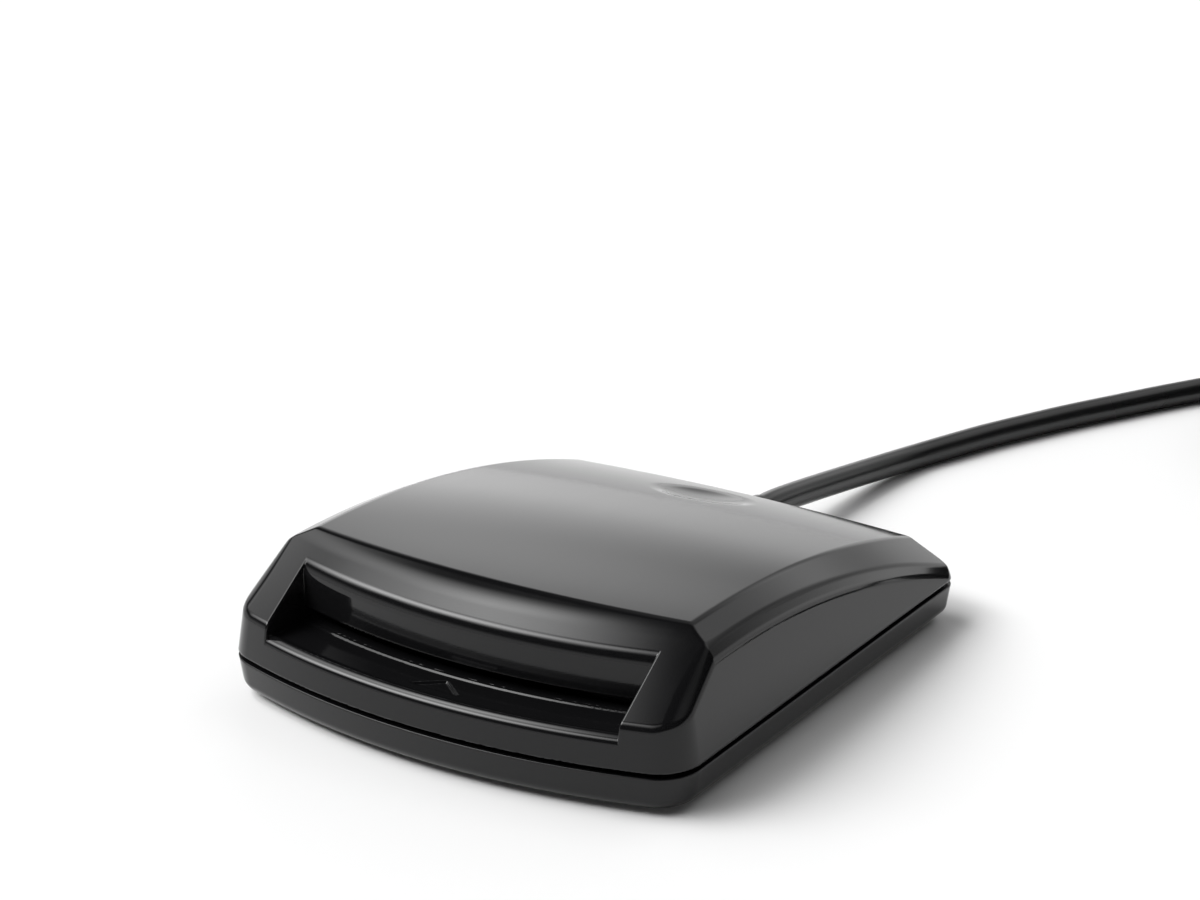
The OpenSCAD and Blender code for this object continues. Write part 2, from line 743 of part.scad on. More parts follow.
// Base shell: a tray with a tongue, columns for both sets of screws and pockets under it
module base_shell() {
    color("dimgray") difference() {
        union() {
            plan_form(base_outline);
            plan_form([[-tongue_root, tongue_outset], [tongue_h, tongue_outset]]);
        }
        difference() {
            union() {
                plan_form([
                    [base_floor, wall + drafted(base_floor)],
                    [-tongue_root, wall + drafted(tongue_root)]
                ]);
                plan_form([[-tongue_root - over, tongue_inset], [tongue_h + over, tongue_inset]]);
            }
            for (p = column_places) translate([p[0], p[1], base_floor - over]) {
                cylinder(h = -base_floor + over, r = column_r, $fn = fn_small);
                cylinder(h = column_root_z + over, r = column_root_r, $fn = fn_small);
            }
            for (p = board_screw_places) translate([p[0], p[1], base_floor - over])
                cylinder(h = board_bottom - base_floor + over, r = board_column_r, $fn = fn_small);
        }
        for (p = column_places) translate([p[0], p[1], -base_h - over]) {
            cylinder(h = base_h + tongue_h, r = screw_hole_r, $fn = fn_small);
            cylinder(h = head_pocket_h + over, r = head_pocket_r, $fn = fn_small);
        }
        for (p = board_screw_places) translate([p[0], p[1], board_top - board_screw_l - tip_room])
            cylinder(h = board_screw_l, r = screw_bite_r, $fn = fn_small);
        for (x = [-foot_x, foot_x]) for (d = [foot_front_d, foot_rear_d])
            translate([x, d, -base_h - over]) cylinder(h = foot_pocket + over, r = foot_r + foot_gap);
        relief_channel(relief_neck_r + relief_fit, relief_inner_d - relief_fit, body_l + wall);
    }
}

module foot(x, d) {
    color("black") translate([x, d, -base_h - foot_stand]) {
        cylinder(h = foot_bevel, r1 = foot_r - foot_bevel, r2 = foot_r);
        translate([0, 0, foot_bevel]) cylinder(h = foot_stand + foot_pocket - foot_bevel, r = foot_r);
    }
}

module foot_front_left() { foot(-foot_x, foot_front_d); }
module foot_front_right() { foot(foot_x, foot_front_d); }
module foot_rear_left() { foot(-foot_x, foot_rear_d); }
module foot_rear_right() { foot(foot_x, foot_rear_d); }

// Pan-head screw: its head rests on z = 0 and its shaft points to -z
module screw(length) {
    color("silver") difference() {
        union() {
            cylinder(h = screw_head_h, r = screw_head_r, $fn = fn_small);
            translate([0, 0, -length]) cylinder(h = length, r = screw_r, $fn = fn_small);
        }
        for (a = [0, 90]) rotate([0, 0, a])
            translate([-screw_slot_r, -screw_slot_r / 4, screw_head_h - screw_slot_h])
                cube([2 * screw_slot_r, screw_slot_r / 2, screw_slot_h + over]);
    }
}

module housing_screws() {
    for (p = column_places) translate([p[0], p[1], head_pocket_h - base_h]) mirror([0, 0, 1])
        screw(screw_l);
}

module board_screws() {
    for (p = board_screw_places) translate([p[0], p[1], board_top]) screw(board_screw_l);
}

module circuit_board() {
    color("darkgreen") difference() {
        translate([-board_w / 2, board_d, board_bottom]) cube([board_w, board_l, board_t]);
        for (p = board_screw_places) translate([p[0], p[1], board_bottom - over])
            cylinder(h = board_t + 2 * over, r = board_hole_r, $fn = fn_small);
        for (p = leg_places) translate([p[0], p[1], board_bottom - over])
            cylinder(h = board_t + 2 * over, r = peg_r + peg_gap, $fn = fn_small);
    }
}

// Card guide that stands on the board, open over the contact block, the switch and four windows
module card_frame() {
    outer_x = guide_x + rail_t;
    guide_l = stop_d + stop_t - guide_front_d;
    color("darkslategray") difference() {
        union() {
            translate([-outer_x, guide_front_d, guide_floor_z]) cube([2 * outer_x, guide_l, guide_floor_t]);
            translate([-outer_x, stop_d, guide_floor_z])
                cube([2 * outer_x, stop_t, guide_top - guide_floor_z]);
            for (side = [0, 1]) mirror([side, 0, 0]) {
                translate([guide_x, guide_front_d, guide_floor_z])
                    cube([rail_t, guide_l, guide_top - guide_floor_z]);
                translate([guide_x - rail_lip, guide_front_d, guide_top - lip_t])
                    cube([rail_lip + rail_t, guide_l, lip_t]);
            }
            for (p = leg_places) translate([p[0], p[1], board_top])
                cylinder(h = guide_floor_z - board_top + guide_floor_t / 2, r = leg_r, $fn = fn_small);
            for (p = leg_places) translate([p[0], p[1], board_bottom])
                cylinder(h = board_t + over, r = peg_r, $fn = fn_small);
        }
        translate([block_left_x - block_window_gap, block_front_d - block_window_gap, guide_floor_z - over])
            cube([block_right_x - block_left_x + 2 * block_window_gap,
                  block_rear_d - block_front_d + 2 * block_window_gap, guide_floor_t + 2 * over]);
        translate([switch_x - lever_w / 2 - lever_window_gap, lever_d - lever_t / 2 - lever_window_gap,
                   guide_floor_z - over])
            cube([lever_w + 2 * lever_window_gap, stop_d, shell_top]);
        for (p = window_places) translate([p[0] - window_size[0] / 2, p[1], guide_floor_z - over])
            cube([window_size[0], window_size[1], guide_floor_t + 2 * over]);
    }
}

// Block with a slot and a bore for each wiper
module contact_block() {
    slot_w = wiper_w + 2 * wiper_slot_gap;
    bore_l = slot_w + 2 * (axle_reach + axle_end_gap);
    color("dimgray") difference() {
        translate([block_left_x, block_front_d, board_top])
            cube([block_right_x - block_left_x, block_rear_d - block_front_d, block_h]);
        for (p = wiper_places) {
            translate([p[0] - slot_w / 2, p[1] - slot_front, slot_floor_z])
                cube([slot_w, slot_front + slot_rear_share * wiper_l, block_h]);
            translate([p[0] - bore_l / 2, p[1], root_z]) rotate([0, 90, 0])
                cylinder(h = bore_l, r = wiper_root_r + root_gap, $fn = fn_small);
        }
    }
}

// Spring leaf with a rolled root that turns in the contact block
module wiper(k) {
    last = len(wiper_l_shares) - 1;
    line = [for (i = [0 : last]) [wiper_l_shares[i] * wiper_l, wiper_h_shares[i] * wiper_dome]];
    lower = [for (p = line) p - [0, wiper_t]];
    upper = [for (i = [last : -1 : 0]) line[i]];
    root_l = wiper_w + 2 * (wiper_slot_gap + axle_reach);
    color("gold") translate([wiper_places[k][0], wiper_places[k][1], root_z]) rotate([90, 0, 90]) {
        translate([0, 0, -wiper_w / 2]) linear_extrude(wiper_w) polygon(concat(lower, upper));
        translate([0, 0, -root_l / 2]) cylinder(h = root_l, r = wiper_root_r, $fn = fn_small);
    }
}

module wiper_1() { wiper(0); }
module wiper_2() { wiper(1); }
module wiper_3() { wiper(2); }
module wiper_4() { wiper(3); }
module wiper_5() { wiper(4); }
module wiper_6() { wiper(5); }
module wiper_7() { wiper(6); }
module wiper_8() { wiper(7); }

module wiper_tails() {
    color("gold") for (c = [0 : columns - 1]) for (d = [block_front_d - tail_size[1], block_rear_d])
        translate([column0_x + c * contact_pitch - tail_size[0] / 2, d, board_top]) cube(tail_size);
}

// Body of the end switch, slotted for its lever
module detect_switch() {
    slot_w = lever_w + 2 * lever_slot_gap;
    bore_l = slot_w + 2 * (axle_reach + axle_end_gap);
    color("black") difference() {
        translate([switch_x - switch_w / 2, lever_d - switch_l / 2, board_top])
            cube([switch_w, switch_l, switch_h]);
        translate([switch_x - slot_w / 2, lever_d - switch_l / 2 - over, lever_slot_z])
            cube([slot_w, switch_l + 2 * over, switch_h]);
        translate([switch_x - bore_l / 2, lever_d, lever_z]) rotate([0, 90, 0])
            cylinder(h = bore_l, r = lever_root_r + root_gap, $fn = fn_small);
    }
}

module detect_lever() {
    root_l = lever_w + 2 * (lever_slot_gap + axle_reach);
    color("ivory") translate([switch_x, lever_d, lever_z]) {
        translate([-lever_w / 2, -lever_t / 2, 0]) cube([lever_w, lever_t, lever_h]);
        translate([-root_l / 2, 0, 0]) rotate([0, 90, 0])
            cylinder(h = root_l, r = lever_root_r, $fn = fn_small);
    }
}

// Gull-wing pin that points to +x from the chip's side
module chip_pin() {
    rotate([90, 0, 0]) linear_extrude(pin_w, center = true) polygon([
        [-pin_t, pin_h - pin_t], [pin_reach / 2 - pin_t, pin_h - pin_t], [pin_reach / 2 - pin_t, 0],
        [pin_reach, 0], [pin_reach, pin_t], [pin_reach / 2, pin_t], [pin_reach / 2, pin_h], [-pin_t, pin_h]
    ]);
}

module controller_chip() {
    color("black") translate([chip_x, chip_d, board_top]) {
        translate([-chip_w / 2, -chip_w / 2, chip_stand]) cube([chip_w, chip_w, chip_t]);
        for (a = [0 : 90 : 270]) rotate([0, 0, a]) for (i = [0 : pins_a_side - 1])
            translate([chip_w / 2, (i - (pins_a_side - 1) / 2) * pin_pitch, 0]) chip_pin();
    }
}

// Slab with round ends along x
module stadium(length, width, h) {
    translate([-length / 2, -width / 2, 0]) cube([length, width, h]);
    for (x = [-length / 2, length / 2]) translate([x, 0, 0]) cylinder(h = h, r = width / 2, $fn = fn_small);
}

module crystal() {
    color("silver") translate([crystal_x, crystal_d, board_top]) {
        stadium(crystal_can[0], crystal_can[1] + 2 * crystal_brim, crystal_base_t);
        stadium(crystal_can[0], crystal_can[1], crystal_can[2]);
    }
}

module capacitors() {
    color("tan") for (s = capacitor_shares)
        translate([s[0] * board_w - capacitor_size[0] / 2, board_d + s[1] * board_l, board_top])
            cube(capacitor_size);
}

module status_led() {
    color("white") translate([0, dish_d, board_top]) {
        translate([-led_size[0] / 2, -led_size[1] / 2, 0]) cube(led_size);
        translate([0, 0, led_size[2]]) cylinder(h = led_lens_h, r = led_lens_r, $fn = fn_small);
    }
}

module light_guide() {
    room = [led_size[0] + light_gap, led_size[1] + light_gap, led_size[2] + led_lens_h + light_gap];
    color("lightcyan") translate([0, dish_d, board_top]) difference() {
        union() {
            cylinder(h = light_foot_h, r = light_foot_r, $fn = fn_small);
            cylinder(h = light_top_z - light_fit - board_top, r = light_r, $fn = fn_small);
        }
        translate([-room[0] / 2, -room[1] / 2, -over]) cube(room + [0, 0, over]);
    }
}

module cable_header() {
    color("ivory") translate([header_x - header_size[0] / 2, header_d, board_top]) difference() {
        cube(header_size);
        translate([header_wall, header_wall, header_wall])
            cube([header_size[0] - 2 * header_wall, header_size[1], header_size[2] - 2 * header_wall]);
        for (x = [header_wall, header_size[0] - 3 * header_wall])
            translate([x, header_size[1] / 3, header_size[2] - 2 * header_wall])
                cube([2 * header_wall, header_wall, 2 * header_wall + over]);
    }
}

function bezier(a, b, c, d, t) =
    pow(1 - t, 3) * a + 3 * pow(1 - t, 2) * t * b + 3 * (1 - t) * pow(t, 2) * c + pow(t, 3) * d;

module usb_wires() {
    header_back = header_d + header_size[1];
    color("crimson") for (i = [0 : wires - 1]) {
        across = i - (wires - 1) / 2;
        split = wire_split * (i % 2 == 0 ? 1 : -1);
        from = [header_x + across * wire_pitch, header_d + 2 * header_wall, wire_z];
        out = [from[0], header_back, wire_z];
        to = [across * wire_end_pitch, relief_inner_d, lead_exit_h + split];
        pull = [0, wire_pull, 0];
        bend = [out, out + pull + [0, 0, split], to - pull, to];
        last = wire_rings - 1;
        path = [from, for (k = [0 : last]) bezier(bend[0], bend[1], bend[2], bend[3], k / last)];
        tube(path, [0, 1, 0], [0, 1, 0], wire_dia / 2, wire_sides);
    }
}

module strain_relief() {
    neck_l = body_l - relief_inner_d;
    color("black") translate([0, relief_inner_d, lead_exit_h]) rotate([-90, 0, 0]) {
        cylinder(h = relief_flange_t, r = relief_flange_r);
        cylinder(h = neck_l, r = relief_neck_r);
        translate([0, 0, neck_l]) cylinder(h = relief_l, r1 = relief_neck_r, r2 = relief_tip_r);
    }
}

module cable() {
    color("black") tube(cable_route, [0, 1, 0], coil_heading(entry_angle), lead_r, cable_sides);
}

module cable_coil() {
    path = concat([coil_start], coil_path, [coil_end]);
    color("black") tube(path, coil_heading(entry_angle), out_heading, lead_r, coil_sides);
}

module cable_end() {
    color("black") tube(end_route, out_heading, out_heading, lead_r, cable_sides);
}

module rounded_box_2d(w, h, r) {
    for (x = [r - w / 2, w / 2 - r]) for (y = [r - h / 2, h / 2 - r])
        translate([x, y]) circle(r, $fn = fn_small);
    square([w - 2 * r, h], center = true);
    square([w, h - 2 * r], center = true);
}

module coil_tie() {
    mid_r = (tie_in_r + tie_out_r) / 2;
    inner_w = tie_out_r - tie_in_r;
    inner_h = bundle_h + 2 * tie_clear;
    color("black") translate([coil_centre[0], coil_centre[1], 0]) rotate([0, 0, tie_angle])
        translate([mid_r, 0, tie_t + inner_h / 2]) rotate([90, 0, 0]) linear_extrude(tie_w, center = true)
            difference() {
                rounded_box_2d(inner_w + 2 * tie_t, inner_h + 2 * tie_t, tie_round);
                rounded_box_2d(inner_w, inner_h, tie_round - tie_t);
            }
}

// Places a piece of the plug: +x is the way that the plug points, from the neck's tip
module in_plug() {
    translate(plug_start) rotate([0, 0, plug_angle]) children();
}

module plug_grip() {
    color("black") in_plug() difference() {
        union() {
            rotate([0, 90, 0]) cylinder(h = neck_l + over, r1 = neck_tip_r, r2 = neck_r);
            intersection() {
                translate([neck_l, 0, 0]) rotate([90, 0, 90]) linear_extrude(grip_l)
                    rounded_box_2d(grip_w, grip_h, grip_round);
                translate([neck_l + grip_l / 2, 0, -grip_h]) linear_extrude(2 * grip_h)
                    rounded_box_2d(grip_l, grip_w, grip_corner);
            }
        }
        translate([neck_l + grip_l - plug_sink, -plug_size[1] / 2, -plug_size[2] / 2])
            cube([plug_sink + over, plug_size[1], plug_size[2]]);
    }
}

module in_plug_shell() {
    in_plug() translate([neck_l + grip_l - plug_sink, 0, 0]) children();
}

module plug_shell() {
    inner = plug_size - 2 * [0, plug_wall, plug_wall];
    color("silver") in_plug_shell() difference() {
        translate([0, -plug_size[1] / 2, -plug_size[2] / 2]) cube(plug_size);
        translate([plug_wall, -inner[1] / 2, -inner[2] / 2]) cube(inner);
        for (y = [-latch_y, latch_y])
            translate([plug_size[0] - latch_x - latch_w, y - latch_w / 2, -plug_size[2]])
                cube([latch_w, latch_w, 2 * plug_size[2]]);
    }
}

module plug_insert() {
    color("white") in_plug_shell()
        translate([plug_wall, plug_wall - plug_size[1] / 2, plug_wall - plug_size[2] / 2])
            cube([plug_size[0] - plug_wall - insert_short, plug_size[1] - 2 * plug_wall, insert_t]);
}

module plug_contacts() {
    color("gold") in_plug_shell() for (y = plug_pins)
        translate([plug_size[0] - 2 * insert_short - plug_pin_size[0], y - plug_pin_size[1] / 2,
                   plug_wall - plug_size[2] / 2 + insert_t])
            cube(plug_pin_size);
}

in_housing() base_shell();
in_housing() top_shell();
in_housing() foot_front_left();
in_housing() foot_front_right();
in_housing() foot_rear_left();
in_housing() foot_rear_right();
in_housing() housing_screws();
in_housing() circuit_board();
in_housing() board_screws();
in_housing() card_frame();
in_housing() contact_block();
in_housing() wiper_1();
in_housing() wiper_2();
in_housing() wiper_3();
in_housing() wiper_4();
in_housing() wiper_5();
in_housing() wiper_6();
in_housing() wiper_7();
in_housing() wiper_8();
in_housing() wiper_tails();
in_housing() detect_switch();
in_housing() detect_lever();
in_housing() controller_chip();
in_housing() crystal();
in_housing() capacitors();
in_housing() status_led();
in_housing() light_guide();
in_housing() cable_header();
in_housing() usb_wires();
in_housing() strain_relief();
cable();
cable_coil();
cable_end();
coil_tie();
plug_grip();
plug_shell();
plug_insert();
plug_contacts();
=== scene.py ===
import json
import math
import bpy
import numpy as np
from mathutils import Matrix, Vector

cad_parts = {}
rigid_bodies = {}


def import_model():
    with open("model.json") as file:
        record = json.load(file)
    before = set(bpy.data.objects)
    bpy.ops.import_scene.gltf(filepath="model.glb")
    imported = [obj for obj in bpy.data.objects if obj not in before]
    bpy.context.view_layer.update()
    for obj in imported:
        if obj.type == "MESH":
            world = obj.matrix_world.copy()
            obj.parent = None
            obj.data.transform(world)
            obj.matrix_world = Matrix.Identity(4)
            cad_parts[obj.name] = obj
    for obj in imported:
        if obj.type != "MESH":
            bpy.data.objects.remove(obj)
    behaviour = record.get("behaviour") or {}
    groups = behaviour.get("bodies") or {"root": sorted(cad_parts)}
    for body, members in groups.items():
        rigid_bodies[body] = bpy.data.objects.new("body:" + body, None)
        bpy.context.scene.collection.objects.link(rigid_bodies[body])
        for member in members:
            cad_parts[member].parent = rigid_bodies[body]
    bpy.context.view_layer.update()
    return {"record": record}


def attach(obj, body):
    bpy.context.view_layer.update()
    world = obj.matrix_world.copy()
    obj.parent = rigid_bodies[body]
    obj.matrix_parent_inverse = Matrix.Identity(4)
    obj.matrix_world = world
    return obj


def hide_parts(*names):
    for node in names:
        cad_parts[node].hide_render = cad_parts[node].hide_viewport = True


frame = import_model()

MM = 0.001

# Housing, in millimetres: x to the right, d behind the front's middle, z above the parting plane.
# These sizes are the ones of the part's source, apart from the card face's slope and crease, the
# recess's lip and floor, and the dish, which follow the photograph more closely here.
BODY_L = 83.0
PART_Z = 6.0
BASE_H = 5.3
ROOF_H = 15.8
WALL = 1.8
BODY_W = 72.0
FRONT_R = 105.0
BACK_R = 700.0
CORNER_R = 6.3
BACK_CORNER_R = 3.0
LEAST_R = 0.2
DRAFT = math.radians(8.5)
GROOVE_Z = 0.3
ROOF_LEN_R = 181.0
ROOF_SIDE_R = 650.0
ROOF_TOP_D = 21.3
CHAMFER_TILT = math.radians(26.0)
CHAMFER_R = 190.0
CHAMFER_X = 31.0
CHAMFER_DROP = 1.3
CREASE_D = 1.0
CREASE_H = 6.2
FACE_SLOPE = math.radians(36.0)
BAND_SLOPE = math.radians(21.5)
BAND_R = 12.0
BAND_D = 11.4
RECESS_X = 27.7
FASCIA_D = 8.8
SLOT_Z = 4.4
SLOT_H = 1.7
SLOT_BEFORE = 0.1
SLOT_BEHIND = 0.3
LIP_R = 1.3
LIP_Z = 4.6
LIP_BACK = (1.7, 2.9)
FLOOR_Z = 4.2
STEP_FRONT = 0.75
STEP_BACK = 0.35
ARROW_D = 4.1
ARROW_L = 3.0
ARROW_W = 7.6
ARROW_DEPTH = 0.25
ARROW_FLANK = (-0.05, 0.25)
DISH_D = 71.0
DISH_SIZE = (14.8, 14.0, 0.9)
EXIT_H = 0.6
RELIEF_HOLE_R = 2.8
RELIEF_HOLE_D = 70.0

# Inside the housing and under it: the tongue, the columns for the screws, and the feet's pockets
TONGUE_H = 1.5
TONGUE_GAP = 0.1
TONGUE_T = 0.9
TONGUE_OUT = WALL + TONGUE_H * math.tan(DRAFT) + TONGUE_GAP
TONGUE_IN = TONGUE_OUT + TONGUE_T
COLUMN_R = 2.0
COLUMN_GAP = 0.3
COLUMN_X = BODY_W / 2 - TONGUE_IN - COLUMN_R - COLUMN_GAP
COLUMN_FRONT_GAP = 6.4
COLUMN_REAR_GAP = 11.0
COLUMN_D = (FASCIA_D + WALL + COLUMN_FRONT_GAP, BODY_L - COLUMN_REAR_GAP)
COLUMN_RISE = 2.0
COLUMN_FALL = 1.0
COLUMN_ROOT_R = 3.0
COLUMN_ROOT_H = 1.2
SCREW_BITE_R = 0.85
SCREW_BITE_TOP = 4.8
SCREW_HOLE_R = 1.15
HEAD_POCKET_R = 2.1
HEAD_POCKET_H = 2.0
BASE_FLOOR = WALL - BASE_H
BOARD_BOTTOM = -2.0
BOARD_COLUMN_SIDE = 14.2
BOARD_COLUMN_D = (24.2, 70.8)
BOARD_COLUMN_R = 2.3
BOARD_HOLE_H = 2.1
FOOT_SIDE = 14.0
FOOT_FRONT_D = 13.0
FOOT_REAR_GAP = 8.0
FOOT_POCKET_R = 4.05
FOOT_POCKET_H = 0.6
BOARD_COLUMNS = [(BODY_W / 2 - BOARD_COLUMN_SIDE, place_d) for place_d in BOARD_COLUMN_D]
FOOT_PLACES = [(BODY_W / 2 - FOOT_SIDE, place_d)
               for place_d in (FOOT_FRONT_D, BODY_L - FOOT_REAR_GAP)]

# Roundings and bevels of the housing's edges, in the scene alone
CREASE_ROUND = 0.55
WALL_ROUND = 0.3
CRISP = 0.2
BEVEL = 1.0
BEVEL_NORM = 1.7
BEVEL_ROUND = 0.25
BEVEL_ROUND_MORE = 0.6
BEVEL_FADE_D = (10.0, 20.0)
TURN_ANGLES = (math.radians(30), math.radians(72))
BROW_R = 1.2
EDGE_R = 0.32
DISH_ROUND = 0.25
GROOVE_CUT = 0.38
GROOVE_ROUND_TOP = 0.12
GROOVE_ROUND_BASE = 0.16
BASE_ROUND = 1.7
POCKET_ROUND = 0.15


def to_metres(x, d, z):
    """A point of the housing, given by its distance behind the front, in the frame's metres."""
    return Vector((x * MM, (d - BODY_L / 2) * MM, (z + PART_Z) * MM))


# Camera: at the photograph's angle, with its framing of 1200 x 900. Its place is given in
# millimetres from the front's middle: towards it along its view, to its right and up.
CAMERA_AZIMUTH = math.radians(32.728)
CAMERA_ELEVATION = math.radians(20.885)
CAMERA_AWAY = 395.95
CAMERA_RIGHT = 23.537
CAMERA_UP = 35.867
CAMERA_LENS = 92.906
SENSOR_WIDTH = 36.0


def make_camera():
    flat = math.cos(CAMERA_ELEVATION)
    towards = Vector((math.sin(CAMERA_AZIMUTH) * flat, -math.cos(CAMERA_AZIMUTH) * flat,
                      math.sin(CAMERA_ELEVATION)))
    right = Vector((math.cos(CAMERA_AZIMUTH), math.sin(CAMERA_AZIMUTH), 0.0))
    up = towards.cross(right)
    data = bpy.data.cameras.new("camera")
    data.sensor_fit = "HORIZONTAL"
    data.sensor_width = SENSOR_WIDTH
    data.lens = CAMERA_LENS
    data.clip_start = 0.01
    data.clip_end = 10.0
    camera = bpy.data.objects.new("camera", data)
    bpy.context.scene.collection.objects.link(camera)
    offset = CAMERA_AWAY * towards + CAMERA_RIGHT * right + CAMERA_UP * up
    turn = Matrix((right, up, towards)).transposed().to_4x4()
    camera.matrix_world = Matrix.Translation(to_metres(0, 0, 0) + offset * MM) @ turn
    bpy.context.scene.camera = camera


make_camera()


# Lead: the same route as in the part's source, in metres
LEAD_DIA = 0.004
CABLE_ROUTE = [
    (0.0, 0.0465, 0.0066), (0.0, 0.049, 0.0065), (0.0001, 0.053, 0.0061),
    (0.0004, 0.06, 0.0052), (0.0011, 0.0695, 0.004), (0.0021, 0.0795, 0.0028),
    (0.0037, 0.0888, 0.002), (0.0064, 0.0963, 0.002), (0.0092, 0.1037, 0.002),
    (0.012, 0.11, 0.002), (0.0165, 0.1195, 0.002), (0.0213, 0.1285, 0.002),
    (0.0262, 0.1375, 0.002), (0.0314, 0.1463, 0.002), (0.0363, 0.1529, 0.0022),
]
COIL_CENTRE = Vector((0.066, 0.146, 0.0))
COIL_MID_R = 0.0225
COIL_LOW = 0.0026
TURN_PITCH = 0.0045
ENTRY_ANGLE = math.radians(143.0)
LAYERS = 4
LAYER_TURNS = 2.3535
CLIMB_TURNS = 0.5
# The end, from the coil to the grip: how far along, and what share of the way down
END_RUN = [(0.0, 0.0), (0.004, 0.0), (0.010, 0.03), (0.018, 0.27),
           (0.026, 0.66), (0.034, 0.94), (0.042, 1.0), (0.046, 1.0)]
GRIP_Z = 0.004
RINGS_A_TURN = 48
RINGS_A_POINT = 4
LEAD_FACETS = 7


def ease(t):
    return t * t * (3 - 2 * t)


def coil_heading(angle):
    return Vector((math.sin(angle), -math.cos(angle), 0.0))


def coil_points():
    """Points of the coil, which spirals in and out again and climbs a layer where it reverses."""
    outer = COIL_MID_R + LAYER_TURNS * TURN_PITCH / 2
    turns = LAYERS * LAYER_TURNS
    steps = math.ceil(RINGS_A_TURN * turns)
    points = []
    for i in range(steps + 1):
        turn = turns * i / steps
        phase = (turn / LAYER_TURNS) % 2
        drawn = phase if phase < 1 else 2 - phase
        radius = outer - drawn * LAYER_TURNS * TURN_PITCH
        climbed = 0.0
        for k in range(1, LAYERS):
            climbed += ease(min(1.0, max(0.0, (turn - k * LAYER_TURNS) / CLIMB_TURNS + 0.5)))
        angle = ENTRY_ANGLE - 2 * math.pi * turn
        points.append(COIL_CENTRE + Vector((radius * math.cos(angle), radius * math.sin(angle),
                                            COIL_LOW + TURN_PITCH * climbed)))
    return points, ENTRY_ANGLE - 2 * math.pi * turns


def smooth_run(points):
    """Points along a smooth curve through the given ones."""
    out = []
    for i in range(len(points) - 1):
        a = points[max(0, i - 1)]
        b = points[i]
        c = points[i + 1]
        d = points[min(len(points) - 1, i + 2)]
        for s in range(RINGS_A_POINT):
            t = s / RINGS_A_POINT
            out.append(0.5 * (2 * b + t * (c - a) + t * t * (2 * a - 5 * b + 4 * c - d)
                              + t ** 3 * (3 * b - a - 3 * c + d)))
    out.append(points[-1])
    return out


def lead_points():
    """The whole lead: from its exit to the coil, round it, and out to the plug's grip."""
    coil, exit_angle = coil_points()
    start = coil[0] - LEAD_DIA * coil_heading(ENTRY_ANGLE)
    out = coil_heading(exit_angle)
    end = coil[-1] + LEAD_DIA * out
    drop = end.z - GRIP_Z
    tail = [end + length * out - Vector((0, 0, share * drop)) for length, share in END_RUN]
    return smooth_run([Vector(p) for p in CABLE_ROUTE] + [start]) + coil + smooth_run(tail)


def make_lead():
    points = lead_points()
    curve = bpy.data.curves.new("lead", "CURVE")
    curve.dimensions = "3D"
    curve.bevel_depth = 1.0
    curve.bevel_resolution = LEAD_FACETS
    curve.use_fill_caps = True
    spline = curve.splines.new("POLY")
    spline.points.add(len(points) - 1)
    for i, point in enumerate(points):
        spline.points[i].co = (*point, 1.0)
        spline.points[i].radius = LEAD_DIA / 2
    spline.use_smooth = True
    lead = bpy.data.objects.new("lead", curve)
    bpy.context.scene.collection.objects.link(lead)
    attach(lead, "housing")
    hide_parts("cable", "cable_coil", "cable_end")
    return lead


lead = make_lead()


# Rounded solids: a field is negative inside. Its surface is meshed on a grid of lines that lie
# closer together where the form is finer.
def smoothstep(x, low, high):
    return ease(np.clip((x - low) / (high - low), 0, 1))


def both(a, b, r=0.0):
    """What two solids have in common, with their meeting edge rounded by r."""
    if np.isscalar(r) and r == 0:
        return np.maximum(a, b)
    u = np.maximum(a + r, 0)
    v = np.maximum(b + r, 0)
    return np.minimum(-r, np.maximum(a, b)) + np.sqrt(u * u + v * v)


def all_of(first, *more):
    """What all the solids have in common, with sharp edges."""
    for other in more:
        first = np.maximum(first, other)
    return first


def beside_line(x, d, place_x, place_d):
    """Distance from the upright line at a place, or at its mirror image."""
    return np.hypot(np.abs(x) - place_x, d - place_d)


def column_distance(x, d):
    return np.minimum(*[beside_line(x, d, COLUMN_X, place_d) for place_d in COLUMN_D])


def behind_front(x, d):
    """Distance behind the front, about its arc's centre."""
    return FRONT_R - np.hypot(x, d - FRONT_R)


def drafted_inset(z):
    return (np.abs(z) - GROOVE_Z) * math.tan(DRAFT)


# The two ends of the plan: the arc's centre and radius, its corners' radius, and its way out
ENDS = [(FRONT_R, FRONT_R, CORNER_R, -1), (BODY_L - BACK_R, BACK_R, BACK_CORNER_R, 1)]


def plan(x, d, inset):
    """Distance outside the plan, moved in by inset, and how far its wall faces sideways."""
    aside = np.abs(x)
    side = aside - (BODY_W / 2 - inset)
    arcs = np.maximum(*[np.hypot(x, d - end[0]) - (end[1] - inset) for end in ENDS])
    out = np.maximum(arcs, side)
    facing = np.where(side >= arcs, 1.0, 0.0)
    for arc_d, arc_r, r, sign in ENDS:
        # The corner's centre, and the way from the arc's centre to it
        corner_x = BODY_W / 2 - r
        reach = math.sqrt((arc_r - r) ** 2 - corner_x ** 2)
        to_x = corner_x / (arc_r - r)
        to_d = reach / (arc_r - r)
        from_x = aside - corner_x
        from_d = (d - arc_d) * sign - reach
        in_corner = (from_d >= 0) & (to_d * from_x - to_x * from_d >= 0)
        out = np.where(in_corner, np.hypot(from_x, from_d) - np.maximum(r - inset, LEAST_R), out)
        turned = smoothstep(np.arctan2(from_x, from_d), *TURN_ANGLES)
        facing = np.where(in_corner, turned, facing)
    return out, facing


def crown(x, d, z, inset):
    """The roof, curved along and across."""
    across = np.hypot(x, z - (ROOF_H - ROOF_SIDE_R)) - (ROOF_SIDE_R - ROOF_LEN_R)
    return np.hypot(across, d - ROOF_TOP_D) - (ROOF_LEN_R - inset)


